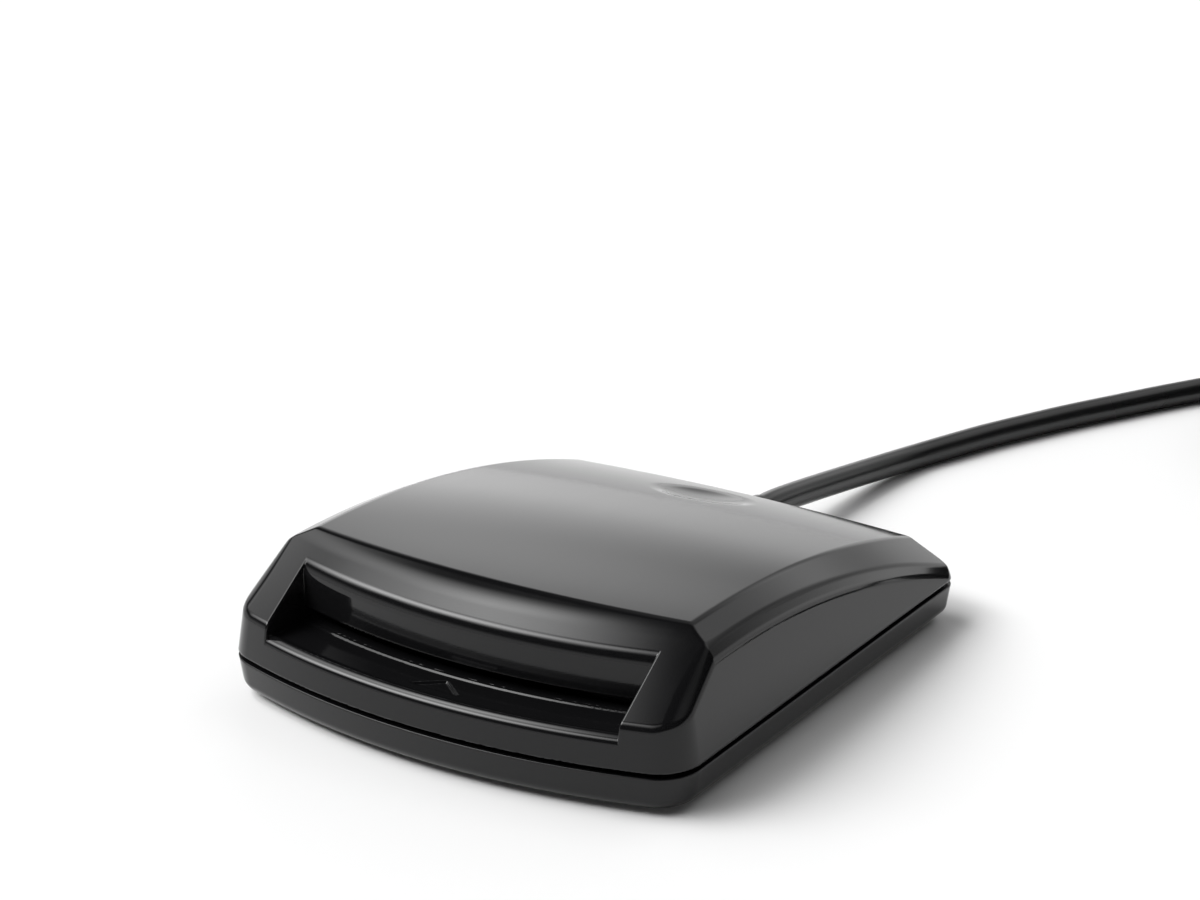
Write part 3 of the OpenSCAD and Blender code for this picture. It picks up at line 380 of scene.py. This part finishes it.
def chamfer(x, d, z, inset):
    """The long chamfer on each side of the roof."""
    rise = (np.abs(x) - CHAMFER_X) * math.sin(CHAMFER_TILT)
    rise = rise + (z - ROOF_H + CHAMFER_DROP) * math.cos(CHAMFER_TILT)
    return np.hypot(rise + CHAMFER_R, d - ROOF_TOP_D) - (CHAMFER_R - inset)


def over_slope(d, z, slope):
    """Height over a slope through the origin, and the way down along it."""
    return z * math.cos(slope) - d * math.sin(slope), -z * math.sin(slope) - d * math.cos(slope)


def card_face(x, d, z, inset):
    """Slope, rounded band and the straight run into the roof, about the front arc's centre."""
    band_z = CREASE_H + (BAND_D - CREASE_D) * math.tan(FACE_SLOPE)
    from_d = behind_front(x, d) - (BAND_D + BAND_R * math.sin(FACE_SLOPE))
    from_z = z - (band_z - BAND_R * math.cos(FACE_SLOPE))
    low, below_face = over_slope(from_d, from_z, FACE_SLOPE)
    high, below_run = over_slope(from_d, from_z, BAND_SLOPE)
    on_band = (below_face <= 0) & (below_run >= 0)
    out = np.where(on_band, np.hypot(from_d, from_z), np.maximum(low, high))
    return out - (BAND_R - inset)


def hood(x, d, z, inset=0.0):
    """Form of the top shell's outside or, with an inset, of its inside, whose edges are sharp."""
    rounding = 0.0 if inset else 1.0
    moved_in = inset + drafted_inset(z)
    wall, facing = plan(x, d, moved_in)
    side = np.abs(x) - BODY_W / 2 + moved_in
    top = both(crown(x, d, z, inset), chamfer(x, d, z, inset), CRISP * rounding)
    top = both(top, card_face(x, d, z, inset), CRISP * rounding)
    # The bevel between the top and the sides is crisp behind, and softer beside the card face
    bevel = (top + side * math.cos(DRAFT) + BEVEL) / BEVEL_NORM
    bevel_round = BEVEL_ROUND + BEVEL_ROUND_MORE * (1 - smoothstep(d, *BEVEL_FADE_D))
    top = both(top, bevel, bevel_round * rounding)
    edge = CREASE_ROUND + (WALL_ROUND - CREASE_ROUND) * facing
    return both(top, wall * math.cos(DRAFT), edge * rounding)


def recess_floor(behind):
    """Height of the recess's floor: the lip's crest, the sunk floor and a step up to the slot."""
    crest = (LIP_Z - FLOOR_Z) * (1 - smoothstep(behind, *LIP_BACK))
    step = (SLOT_Z - FLOOR_Z) * smoothstep(behind, FASCIA_D - STEP_FRONT, FASCIA_D - STEP_BACK)
    return FLOOR_Z + crest + step


def arrow_sink(x, d):
    """How deep the arrow, which points in, lies in the recess's floor."""
    half = ARROW_W / 2 * (1 - (d - ARROW_D) / ARROW_L)
    arrow = all_of(np.abs(x) - half, ARROW_D - d, d - ARROW_D - ARROW_L)
    return ARROW_DEPTH * smoothstep(-arrow, *ARROW_FLANK)


def dish(x, d, z):
    """Scoop in the roof, square to it."""
    length, width, depth = DISH_SIZE
    run = DISH_D - ROOF_TOP_D
    slope = math.asin(run / ROOF_LEN_R)
    roof_z = ROOF_H - ROOF_LEN_R + math.sqrt(ROOF_LEN_R ** 2 - run ** 2)
    along = (d - DISH_D) * math.cos(slope) - (z - roof_z) * math.sin(slope)
    up = (d - DISH_D) * math.sin(slope) + (z - roof_z) * math.cos(slope)
    ball = ((width / 2) ** 2 + depth ** 2) / (2 * depth)
    across = x * width / length
    return np.sqrt(across ** 2 + along ** 2 + (up - ball + depth) ** 2) - ball


def relief_hole(x, d, z):
    """The way of the strain relief through both shells' rear walls."""
    return np.maximum(np.hypot(x, z - EXIT_H) - RELIEF_HOLE_R, RELIEF_HOLE_D - d)


def top_shell_field(x, d, z):
    aside = np.abs(x)
    behind = behind_front(x, d)
    outside = hood(x, d, z)
    # The recess: its sides, its back face and its floor with the arrow
    floor = z - recess_floor(behind) + arrow_sink(x, d)
    body = np.minimum(both(outside, RECESS_X - aside, EDGE_R),
                      both(outside, FASCIA_D - behind, BROW_R))
    body = np.minimum(body, both(outside, floor, LIP_R))
    # The card slot through the back face
    slot = all_of(np.abs(z - SLOT_Z - SLOT_H / 2) - SLOT_H / 2, aside - RECESS_X,
                  FASCIA_D - SLOT_BEFORE - behind, behind - FASCIA_D - WALL - SLOT_BEHIND)
    body = both(body, -slot, CRISP)
    body = both(body, -dish(x, d, z), DISH_ROUND)
    body = both(body, GROOVE_CUT - z, GROOVE_ROUND_TOP)
    # The hollow inside, round the recess's walls and the screw columns
    pocket = all_of(aside - RECESS_X - WALL, behind - FASCIA_D - WALL,
                    SLOT_Z - LIP_R - WALL / 2 - z)
    column = column_distance(x, d)
    body = np.maximum(body, -all_of(hood(x, d, z, WALL), -pocket, COLUMN_R - column))
    # The columns go down to the parting plane, with a hole for the screw in each
    body = np.minimum(body, all_of(column - COLUMN_R, -z, z - COLUMN_RISE))
    body = np.maximum(body, -np.maximum(column - SCREW_BITE_R, z - SCREW_BITE_TOP))
    return np.maximum(body, -relief_hole(x, d, z))


def base_shell_field(x, d, z):
    wall = plan(x, d, drafted_inset(np.minimum(z, -GROOVE_Z)))[0]
    straight = plan(x, d, 0.0)[0]
    outside = both(wall * math.cos(DRAFT), -BASE_H - z, BASE_ROUND)
    body = both(outside, z + GROOVE_CUT, GROOVE_ROUND_BASE)
    body = np.minimum(body, all_of(straight + TONGUE_OUT, z - TONGUE_H, -TONGUE_H - z))
    # The hollow, below and within the tongue, round the screws' columns and the board's
    low = all_of(plan(x, d, WALL + drafted_inset(z))[0], BASE_FLOOR - z, z + TONGUE_H)
    high = np.maximum(straight + TONGUE_IN, -TONGUE_H - TONGUE_GAP - z)
    hollow = np.minimum(low, high)
    column = column_distance(x, d)
    column_r = np.where(z < BASE_FLOOR + COLUMN_ROOT_H, COLUMN_ROOT_R, COLUMN_R)
    hollow = np.maximum(hollow, column_r - column)
    for place in BOARD_COLUMNS:
        round_it = np.maximum(hollow, BOARD_COLUMN_R - beside_line(x, d, *place))
        hollow = np.where(z < BOARD_BOTTOM, round_it, hollow)
    body = np.maximum(body, -hollow)
    # The columns go up to the parting plane, with a hole for the screw and a pocket for its head
    body = np.minimum(body, all_of(column - COLUMN_R, z, -COLUMN_FALL - z))
    body = np.maximum(body, SCREW_HOLE_R - column)
    pocket = np.maximum(column - HEAD_POCKET_R, z + BASE_H - HEAD_POCKET_H)
    body = both(body, -pocket, POCKET_ROUND)
    for place in FOOT_PLACES:
        foot = beside_line(x, d, *place) - FOOT_POCKET_R
        body = np.maximum(body, -np.maximum(foot, z + BASE_H - FOOT_POCKET_H))
    for place in BOARD_COLUMNS:
        bore = beside_line(x, d, *place) - SCREW_BITE_R
        body = np.maximum(body, -np.maximum(bore, BOARD_BOTTOM - BOARD_HOLE_H - z))
    return np.maximum(body, -relief_hole(x, d, z))


# Meshing: how often a crossing's place is halved, the steps for a field's slope, and the share
# of a cell's strongest curvature under which it counts as flat
HALVINGS = 14
SLOPE_STEP = 0.01
NORMAL_STEP = 0.02
LEAST_SLOPE = 1e-9
FLAT_SHARE = 0.06


def lines(*stops):
    """Grid lines from stop to stop: place, step, place, step, ..., place."""
    out = [stops[0]]
    for step, end in zip(stops[1::2], stops[2::2]):
        count = max(1, round((end - out[-1]) / step))
        out += list(np.linspace(out[-1], end, count + 1)[1:])
    return np.array(out)


def gradient(field, points, step):
    out = np.empty_like(points)
    for axis in range(3):
        ahead = points.copy()
        behind = points.copy()
        ahead[:, axis] += step
        behind[:, axis] -= step
        out[:, axis] = field(*ahead.T) - field(*behind.T)
    return out / np.maximum(np.linalg.norm(out, axis=1, keepdims=True), LEAST_SLOPE)


def grid_points(axes, index):
    return np.stack([axes[k][index[:, k]] for k in range(3)], 1)


def crossings(field, axes, values, axis):
    """Grid edges along an axis where the field changes sign, and the places where it does."""
    inside = values < 0
    low = np.take(inside, range(inside.shape[axis] - 1), axis)
    high = np.take(inside, range(1, inside.shape[axis]), axis)
    index = np.argwhere(low != high)
    leaves = low[tuple(index.T)]
    a = grid_points(axes, index)
    b = a.copy()
    b[:, axis] = axes[axis][index[:, axis] + 1]
    for _ in range(HALVINGS):
        middle = (a + b) / 2
        same = (field(*middle.T) < 0) == leaves
        a[same] = middle[same]
        b[~same] = middle[~same]
    return index, (a + b) / 2, leaves


def best_places(owner, normals, places):
    """For each cell, the point closest to the planes at its crossings."""
    count = np.bincount(owner)
    middle = np.stack([np.bincount(owner, places[:, k]) for k in range(3)], 1) / count[:, None]
    offset = np.einsum("ij,ij->i", normals, places - middle[owner])
    left = np.empty((len(count), 3, 3))
    right = np.empty((len(count), 3))
    for i in range(3):
        right[:, i] = np.bincount(owner, normals[:, i] * offset)
        for j in range(3):
            left[:, i, j] = np.bincount(owner, normals[:, i] * normals[:, j])
    power, turn = np.linalg.eigh(left)
    strong = power > FLAT_SHARE * power[:, -1:]
    inverse = np.where(strong, 1 / np.where(strong, power, 1), 0)
    return middle + np.einsum("nij,nj,nkj,nk->ni", turn, inverse, turn, right)


def mesh_field(name, field, axes):
    """Mesh of a field's surface, with a vertex in each grid cell that it crosses."""
    values = field(*np.meshgrid(*axes, indexing="ij"))
    shape = np.array(values.shape) - 1
    cells, normals, places, quads = [], [], [], []
    for axis in range(3):
        u = (axis + 1) % 3
        v = (axis + 2) % 3
        index, place, leaves = crossings(field, axes, values, axis)
        keep = (index[:, u] > 0) & (index[:, v] > 0)
        index, place, leaves = index[keep], place[keep], leaves[keep]
        around = []
        for du, dv in ((-1, -1), (0, -1), (0, 0), (-1, 0)):
            cell = index.copy()
            cell[:, u] += du
            cell[:, v] += dv
            around.append(np.ravel_multi_index(cell.T, shape))
        around = np.stack(around, 1)
        quads.append(np.where(leaves[:, None], around, around[:, ::-1]))
        cells.append(around.ravel())
        normals.append(np.repeat(gradient(field, place, SLOPE_STEP), 4, axis=0))
        places.append(np.repeat(place, 4, axis=0))
    used, owner = np.unique(np.concatenate(cells), return_inverse=True)
    corner = np.stack(np.unravel_index(used, shape), 1)
    verts = best_places(owner, np.concatenate(normals), np.concatenate(places))
    verts = np.clip(verts, grid_points(axes, corner), grid_points(axes, corner + 1))
    faces = np.searchsorted(used, np.concatenate(quads))
    mesh = bpy.data.meshes.new(name)
    in_frame = (verts + [0, -BODY_L / 2, PART_Z]) * MM
    mesh.from_pydata(in_frame.tolist(), [], faces.tolist())
    mesh.polygons.foreach_set("use_smooth", np.ones(len(faces), bool))
    mesh.normals_split_custom_set_from_vertices(gradient(field, verts, NORMAL_STEP).tolist())
    piece = bpy.data.objects.new(name, mesh)
    bpy.context.scene.collection.objects.link(piece)
    return piece


TOP_GRID = (
    lines(-36.4, 0.2, -28.2, 0.1, -27.3, 0.8, -24, 1.0, -8, 0.4, -4.4, 0.2,
          4.4, 0.4, 8, 1.0, 24, 0.8, 27.3, 0.1, 28.2, 0.2, 36.4),
    lines(-0.5, 0.2, 8.5, 0.12, 12.1, 0.2, 22.9, 1.0, 62.5, 0.3, 79, 0.25, 83.6),
    lines(-0.3, 0.2, 9.1, 0.12, 12.7, 0.2, 16.3),
)
BASE_GRID = (
    lines(-36.4, 0.2, -29, 1.0, 29, 0.2, 36.4),
    lines(-0.5, 0.2, 12, 1.0, 79, 0.25, 83.6),
    lines(-5.5, 0.2, 1.8),
)


def make_shells():
    top = mesh_field("top_cover", top_shell_field, TOP_GRID)
    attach(top, "housing")
    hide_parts("top_shell")
    base = mesh_field("base_tray", base_shell_field, BASE_GRID)
    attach(base, "housing")
    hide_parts("base_shell")
    return top, base


top_cover, base_tray = make_shells()


# Materials
def new_material(name, color, roughness, metallic=0.0):
    material = bpy.data.materials.new(name)
    material.use_nodes = True
    shader = material.node_tree.nodes["Principled BSDF"]
    shader.inputs["Base Color"].default_value = (*color, 1.0)
    shader.inputs["Roughness"].default_value = roughness
    shader.inputs["Metallic"].default_value = metallic
    return material, shader


def noise(tree, scale, detail=2.0, stretch=(1.0, 1.0, 1.0)):
    """Noise of scale cells per metre; stretch packs them closer along an axis."""
    coords = tree.nodes.new("ShaderNodeTexCoord")
    mapping = tree.nodes.new("ShaderNodeMapping")
    mapping.inputs["Scale"].default_value = stretch
    tree.links.new(coords.outputs["Object"], mapping.inputs["Vector"])
    texture = tree.nodes.new("ShaderNodeTexNoise")
    texture.inputs["Scale"].default_value = scale
    texture.inputs["Detail"].default_value = detail
    tree.links.new(mapping.outputs["Vector"], texture.inputs["Vector"])
    return texture.outputs["Fac"]


def add_bump(tree, shader, height, strength, depth):
    """Relief on top of any that the shader has already; depth is in metres."""
    bump = tree.nodes.new("ShaderNodeBump")
    bump.inputs["Strength"].default_value = strength
    bump.inputs["Distance"].default_value = depth
    tree.links.new(height, bump.inputs["Height"])
    before = shader.inputs["Normal"].links
    if before:
        tree.links.new(before[0].from_socket, bump.inputs["Normal"])
    tree.links.new(bump.outputs["Normal"], shader.inputs["Normal"])


def vary_color(tree, shader, factor, a, b):
    """Base colour between a and b, by the factor."""
    mix = tree.nodes.new("ShaderNodeMix")
    mix.data_type = "RGBA"
    mix.inputs["A"].default_value = (*a, 1.0)
    mix.inputs["B"].default_value = (*b, 1.0)
    tree.links.new(factor, mix.inputs["Factor"])
    tree.links.new(mix.outputs["Result"], shader.inputs["Base Color"])


NOISE_LOW = 0.3
NOISE_HIGH = 0.7


def vary_roughness(tree, shader, factor, low, high):
    """Roughness from low to high over the middle of a noise's range."""
    span = tree.nodes.new("ShaderNodeMapRange")
    span.inputs["From Min"].default_value = NOISE_LOW
    span.inputs["From Max"].default_value = NOISE_HIGH
    span.inputs["To Min"].default_value = low
    span.inputs["To Max"].default_value = high
    tree.links.new(factor, span.inputs["Value"])
    tree.links.new(span.outputs["Result"], shader.inputs["Roughness"])


GRAIN_DEPTH = 0.00002
CLOUD_SCALE = 60.0
ROUGHNESS_SPREAD = 0.12


def moulded(name, color, roughness, grain_scale, grain_strength, metallic=0.0, tint=0.06,
            stretch=(1.0, 1.0, 1.0)):
    """A moulded or pressed surface: fine grain in relief, slight changes of colour and gloss."""
    material, shader = new_material(name, color, roughness, metallic)
    tree = material.node_tree
    grain = noise(tree, grain_scale, 3.0, stretch)
    add_bump(tree, shader, grain, grain_strength, GRAIN_DEPTH)
    cloud = noise(tree, CLOUD_SCALE)
    vary_roughness(tree, shader, cloud, roughness * (1 - ROUGHNESS_SPREAD),
                   roughness * (1 + ROUGHNESS_SPREAD))
    dark = tuple(c * (1 - tint) for c in color)
    pale = tuple(min(1.0, c * (1 + tint)) for c in color)
    vary_color(tree, shader, cloud, dark, pale)
    return material


HOUSING_BLACK = (0.005, 0.005, 0.0055)
HOUSING_PALER = (0.0062, 0.0062, 0.0066)
HOUSING_ROUGHNESS = 0.09
HOUSING_IOR = 1.39


def polished_housing():
    """Gloss black plastic, with the faint waviness of a moulding and a few fine handling marks."""
    material, shader = new_material("housing_plastic", HOUSING_BLACK, HOUSING_ROUGHNESS)
    shader.inputs["IOR"].default_value = HOUSING_IOR
    tree = material.node_tree
    add_bump(tree, shader, noise(tree, 180.0, detail=1.0), strength=0.06, depth=0.00002)
    add_bump(tree, shader, noise(tree, 2600.0, detail=3.0), strength=0.04, depth=0.00001)
    marks = noise(tree, 420.0, detail=6.0, stretch=(1.0, 0.16, 1.0))
    vary_roughness(tree, shader, marks, HOUSING_ROUGHNESS * 0.85, HOUSING_ROUGHNESS * 1.2)
    vary_color(tree, shader, noise(tree, 45.0), HOUSING_BLACK, HOUSING_PALER)
    return material


LACQUER = (0.005, 0.035, 0.014)
LACQUER_OVER_COPPER = (0.012, 0.085, 0.03)
LACQUER_ROUGHNESS = 0.3
TRACK_LENGTH = 0.0094
TRACK_PITCH = 0.0017
TRACK_GAP = 0.00032


def board_lacquer():
    """Green lacquer over copper tracks, which show paler and stand a little proud."""
    material, shader = new_material("board_lacquer", LACQUER, LACQUER_ROUGHNESS)
    tree = material.node_tree
    coords = tree.nodes.new("ShaderNodeTexCoord")
    tracks = tree.nodes.new("ShaderNodeTexBrick")
    tracks.inputs["Scale"].default_value = 1.0
    tracks.inputs["Brick Width"].default_value = TRACK_LENGTH
    tracks.inputs["Row Height"].default_value = TRACK_PITCH
    tracks.inputs["Mortar Size"].default_value = TRACK_GAP
    tracks.inputs["Mortar Smooth"].default_value = 0.1
    tree.links.new(coords.outputs["Object"], tracks.inputs["Vector"])
    copper = tracks.outputs["Fac"]
    vary_color(tree, shader, copper, LACQUER, LACQUER_OVER_COPPER)
    add_bump(tree, shader, copper, strength=0.6, depth=0.00004)
    add_bump(tree, shader, noise(tree, 1500.0, detail=2.0), strength=0.15, depth=0.00002)
    vary_roughness(tree, shader, noise(tree, 90.0), 0.24, 0.36)
    return material


# By material slot: name, colour, roughness, grain in cells per metre, and the grain's strength
ALONG_Y = (1.0, 0.04, 1.0)
MATERIALS = {
    "housing": polished_housing(),
    "rubber_black": moulded("rubber", (0.018, 0.018, 0.018), 0.62, 1500.0, 0.5),
    "screw_steel": moulded("screw_steel", (0.56, 0.56, 0.58), 0.32, 900.0, 0.2, metallic=1.0),
    "board_green": board_lacquer(),
    "guide_plastic": moulded("guide_plastic", (0.02, 0.02, 0.022), 0.45, 1800.0, 0.3),
    "contact_gold": moulded("contact_gold", (0.83, 0.58, 0.22), 0.24, 900.0, 0.1, metallic=1.0,
                            stretch=ALONG_Y),
    "lever_white": moulded("white_plastic", (0.72, 0.71, 0.67), 0.42, 1500.0, 0.2),
    "chip_black": moulded("chip_epoxy", (0.014, 0.014, 0.015), 0.5, 2200.0, 0.3),
    "can_steel": moulded("can_steel", (0.66, 0.66, 0.66), 0.26, 900.0, 0.15, metallic=1.0),
    "ceramic_tan": moulded("ceramic", (0.42, 0.3, 0.19), 0.5, 1600.0, 0.3),
    "led_white": moulded("led_lens", (0.82, 0.82, 0.76), 0.2, 900.0, 0.05),
    "clear_guide": moulded("clear_acrylic", (0.05, 0.055, 0.06), 0.1, 700.0, 0.03),
    "wire_jacket": moulded("wire_jacket", (0.35, 0.02, 0.02), 0.4, 1200.0, 0.15),
    "cord_jacket": moulded("cord_jacket", (0.005, 0.005, 0.0053), 0.3, 1300.0, 0.2),
    "plug_steel": moulded("plug_steel", (0.7, 0.7, 0.71), 0.24, 1500.0, 0.2, metallic=1.0,
                          tint=0.04, stretch=ALONG_Y),
}


def set_material(piece, slot):
    materials = piece.data.materials
    if not materials:
        materials.append(None)
    for i in range(len(materials)):
        materials[i] = MATERIALS[slot]


def dress_all():
    for part in frame["record"]["subparts"]:
        set_material(bpy.data.objects[part["node"]], part["material_slot"])
    set_material(top_cover, "housing")
    set_material(base_tray, "housing")
    set_material(lead, "cord_jacket")


dress_all()


# Studio: a pale floor, and soft panels of light all round in the world
FLOOR_SIZE = 6.0
FLOOR_ALBEDO = 0.86
FLOOR_ROUGHNESS = 0.7


def make_floor():
    bpy.ops.mesh.primitive_plane_add(size=FLOOR_SIZE, location=(0, 0, 0))
    floor = bpy.context.active_object
    floor.name = "studio_floor"
    material = new_material("studio_floor", (FLOOR_ALBEDO,) * 3, FLOOR_ROUGHNESS)[0]
    floor.data.materials.append(material)


# Far panels, in degrees: azimuth from the back (left is negative) and elevation of the middle,
# half width and half height; and strength
PANELS = [
    # Behind, from the left to the right, low and then higher
    (-38, 8, 7, 8, 1.10),
    (-24, 8, 7, 8, 0.36),
    (-36, 24, 8, 8, 1.84),
    (-20, 24, 8, 8, 0.51),
    (-2, 24, 10, 8, 1.36),
    (24, 16, 12, 14, 0.67),
    (-12, 44, 16, 11, 0.42),
    (25, 48, 20, 14, 0.93),
    (60, 64, 18, 10, 0.50),
    # Left, which the chamfers and the card face mirror
    (-78, 36, 11, 10, 2.10),
    (-92, 56, 11, 11, 4.10),
    (-112, 63, 12, 9, 5.20),
    # A strip from the left to the front, for the highlights along the brow and the lip
    (-110, 36, 8, 8, 9.30),
    (-124, 42, 7, 8, 10.20),
    (-138, 46, 7, 8, 9.40),
    (-154, 50, 8, 8, 6.60),
    (-174, 53, 9, 7, 2.30),
]
PANEL_SOFT = 0.14
LEAST_AHEAD = 0.01
HORIZON = 0.9
HORIZON_HALF = math.sin(math.radians(13.0))
HORIZON_SOFT = 0.1


def math_node(tree, operation, *values):
    node = tree.nodes.new("ShaderNodeMath")
    node.operation = operation
    for i, value in enumerate(values):
        if isinstance(value, (int, float)):
            node.inputs[i].default_value = value
        else:
            tree.links.new(value, node.inputs[i])
    return node.outputs[0]


def dot_node(tree, vector, axis):
    node = tree.nodes.new("ShaderNodeVectorMath")
    node.operation = "DOT_PRODUCT"
    tree.links.new(vector, node.inputs[0])
    node.inputs[1].default_value = axis
    return node.outputs["Value"]


def soft_window(tree, value, half, soft):
    """1 where the value lies within half of zero, 0 outside, with a soft edge."""
    node = tree.nodes.new("ShaderNodeMapRange")
    node.interpolation_type = "SMOOTHSTEP"
    node.inputs["From Min"].default_value = half + soft
    node.inputs["From Max"].default_value = max(0.0, half - soft)
    tree.links.new(math_node(tree, "ABSOLUTE", value), node.inputs["Value"])
    return node.outputs["Result"]


def panel_light(tree, direction, azimuth, elevation, half_w, half_h, strength):
    """Light of a flat panel, square to the way to its middle."""
    turn, rise = math.radians(azimuth), math.radians(elevation)
    middle = Vector((math.sin(turn) * math.cos(rise), math.cos(turn) * math.cos(rise),
                     math.sin(rise)))
    across = Vector((math.cos(turn), -math.sin(turn), 0))
    ahead = dot_node(tree, direction, middle)
    light = math_node(tree, "GREATER_THAN", ahead, LEAST_AHEAD)
    for axis, half in ((across, half_w), (middle.cross(across), half_h)):
        place = math_node(tree, "DIVIDE", dot_node(tree, direction, axis), ahead)
        window = soft_window(tree, place, math.tan(math.radians(half)), PANEL_SOFT)
        light = math_node(tree, "MULTIPLY", light, window)
    return math_node(tree, "MULTIPLY", light, strength)


def make_world():
    world = bpy.data.worlds.new("studio")
    bpy.context.scene.world = world
    world.use_nodes = True
    tree = world.node_tree
    direction = tree.nodes.new("ShaderNodeTexCoord").outputs["Generated"]
    up = dot_node(tree, direction, Vector((0, 0, 1)))
    near_floor = soft_window(tree, up, HORIZON_HALF, HORIZON_SOFT)
    total = math_node(tree, "MULTIPLY", near_floor, HORIZON)
    for panel in PANELS:
        total = math_node(tree, "ADD", panel_light(tree, direction, *panel), total)
    background = tree.nodes["Background"]
    background.inputs["Color"].default_value = (1.0, 1.0, 1.0, 1.0)
    tree.links.new(total, background.inputs["Strength"])


make_floor()
make_world()
bpy.context.scene.view_settings.view_transform = "Standard"
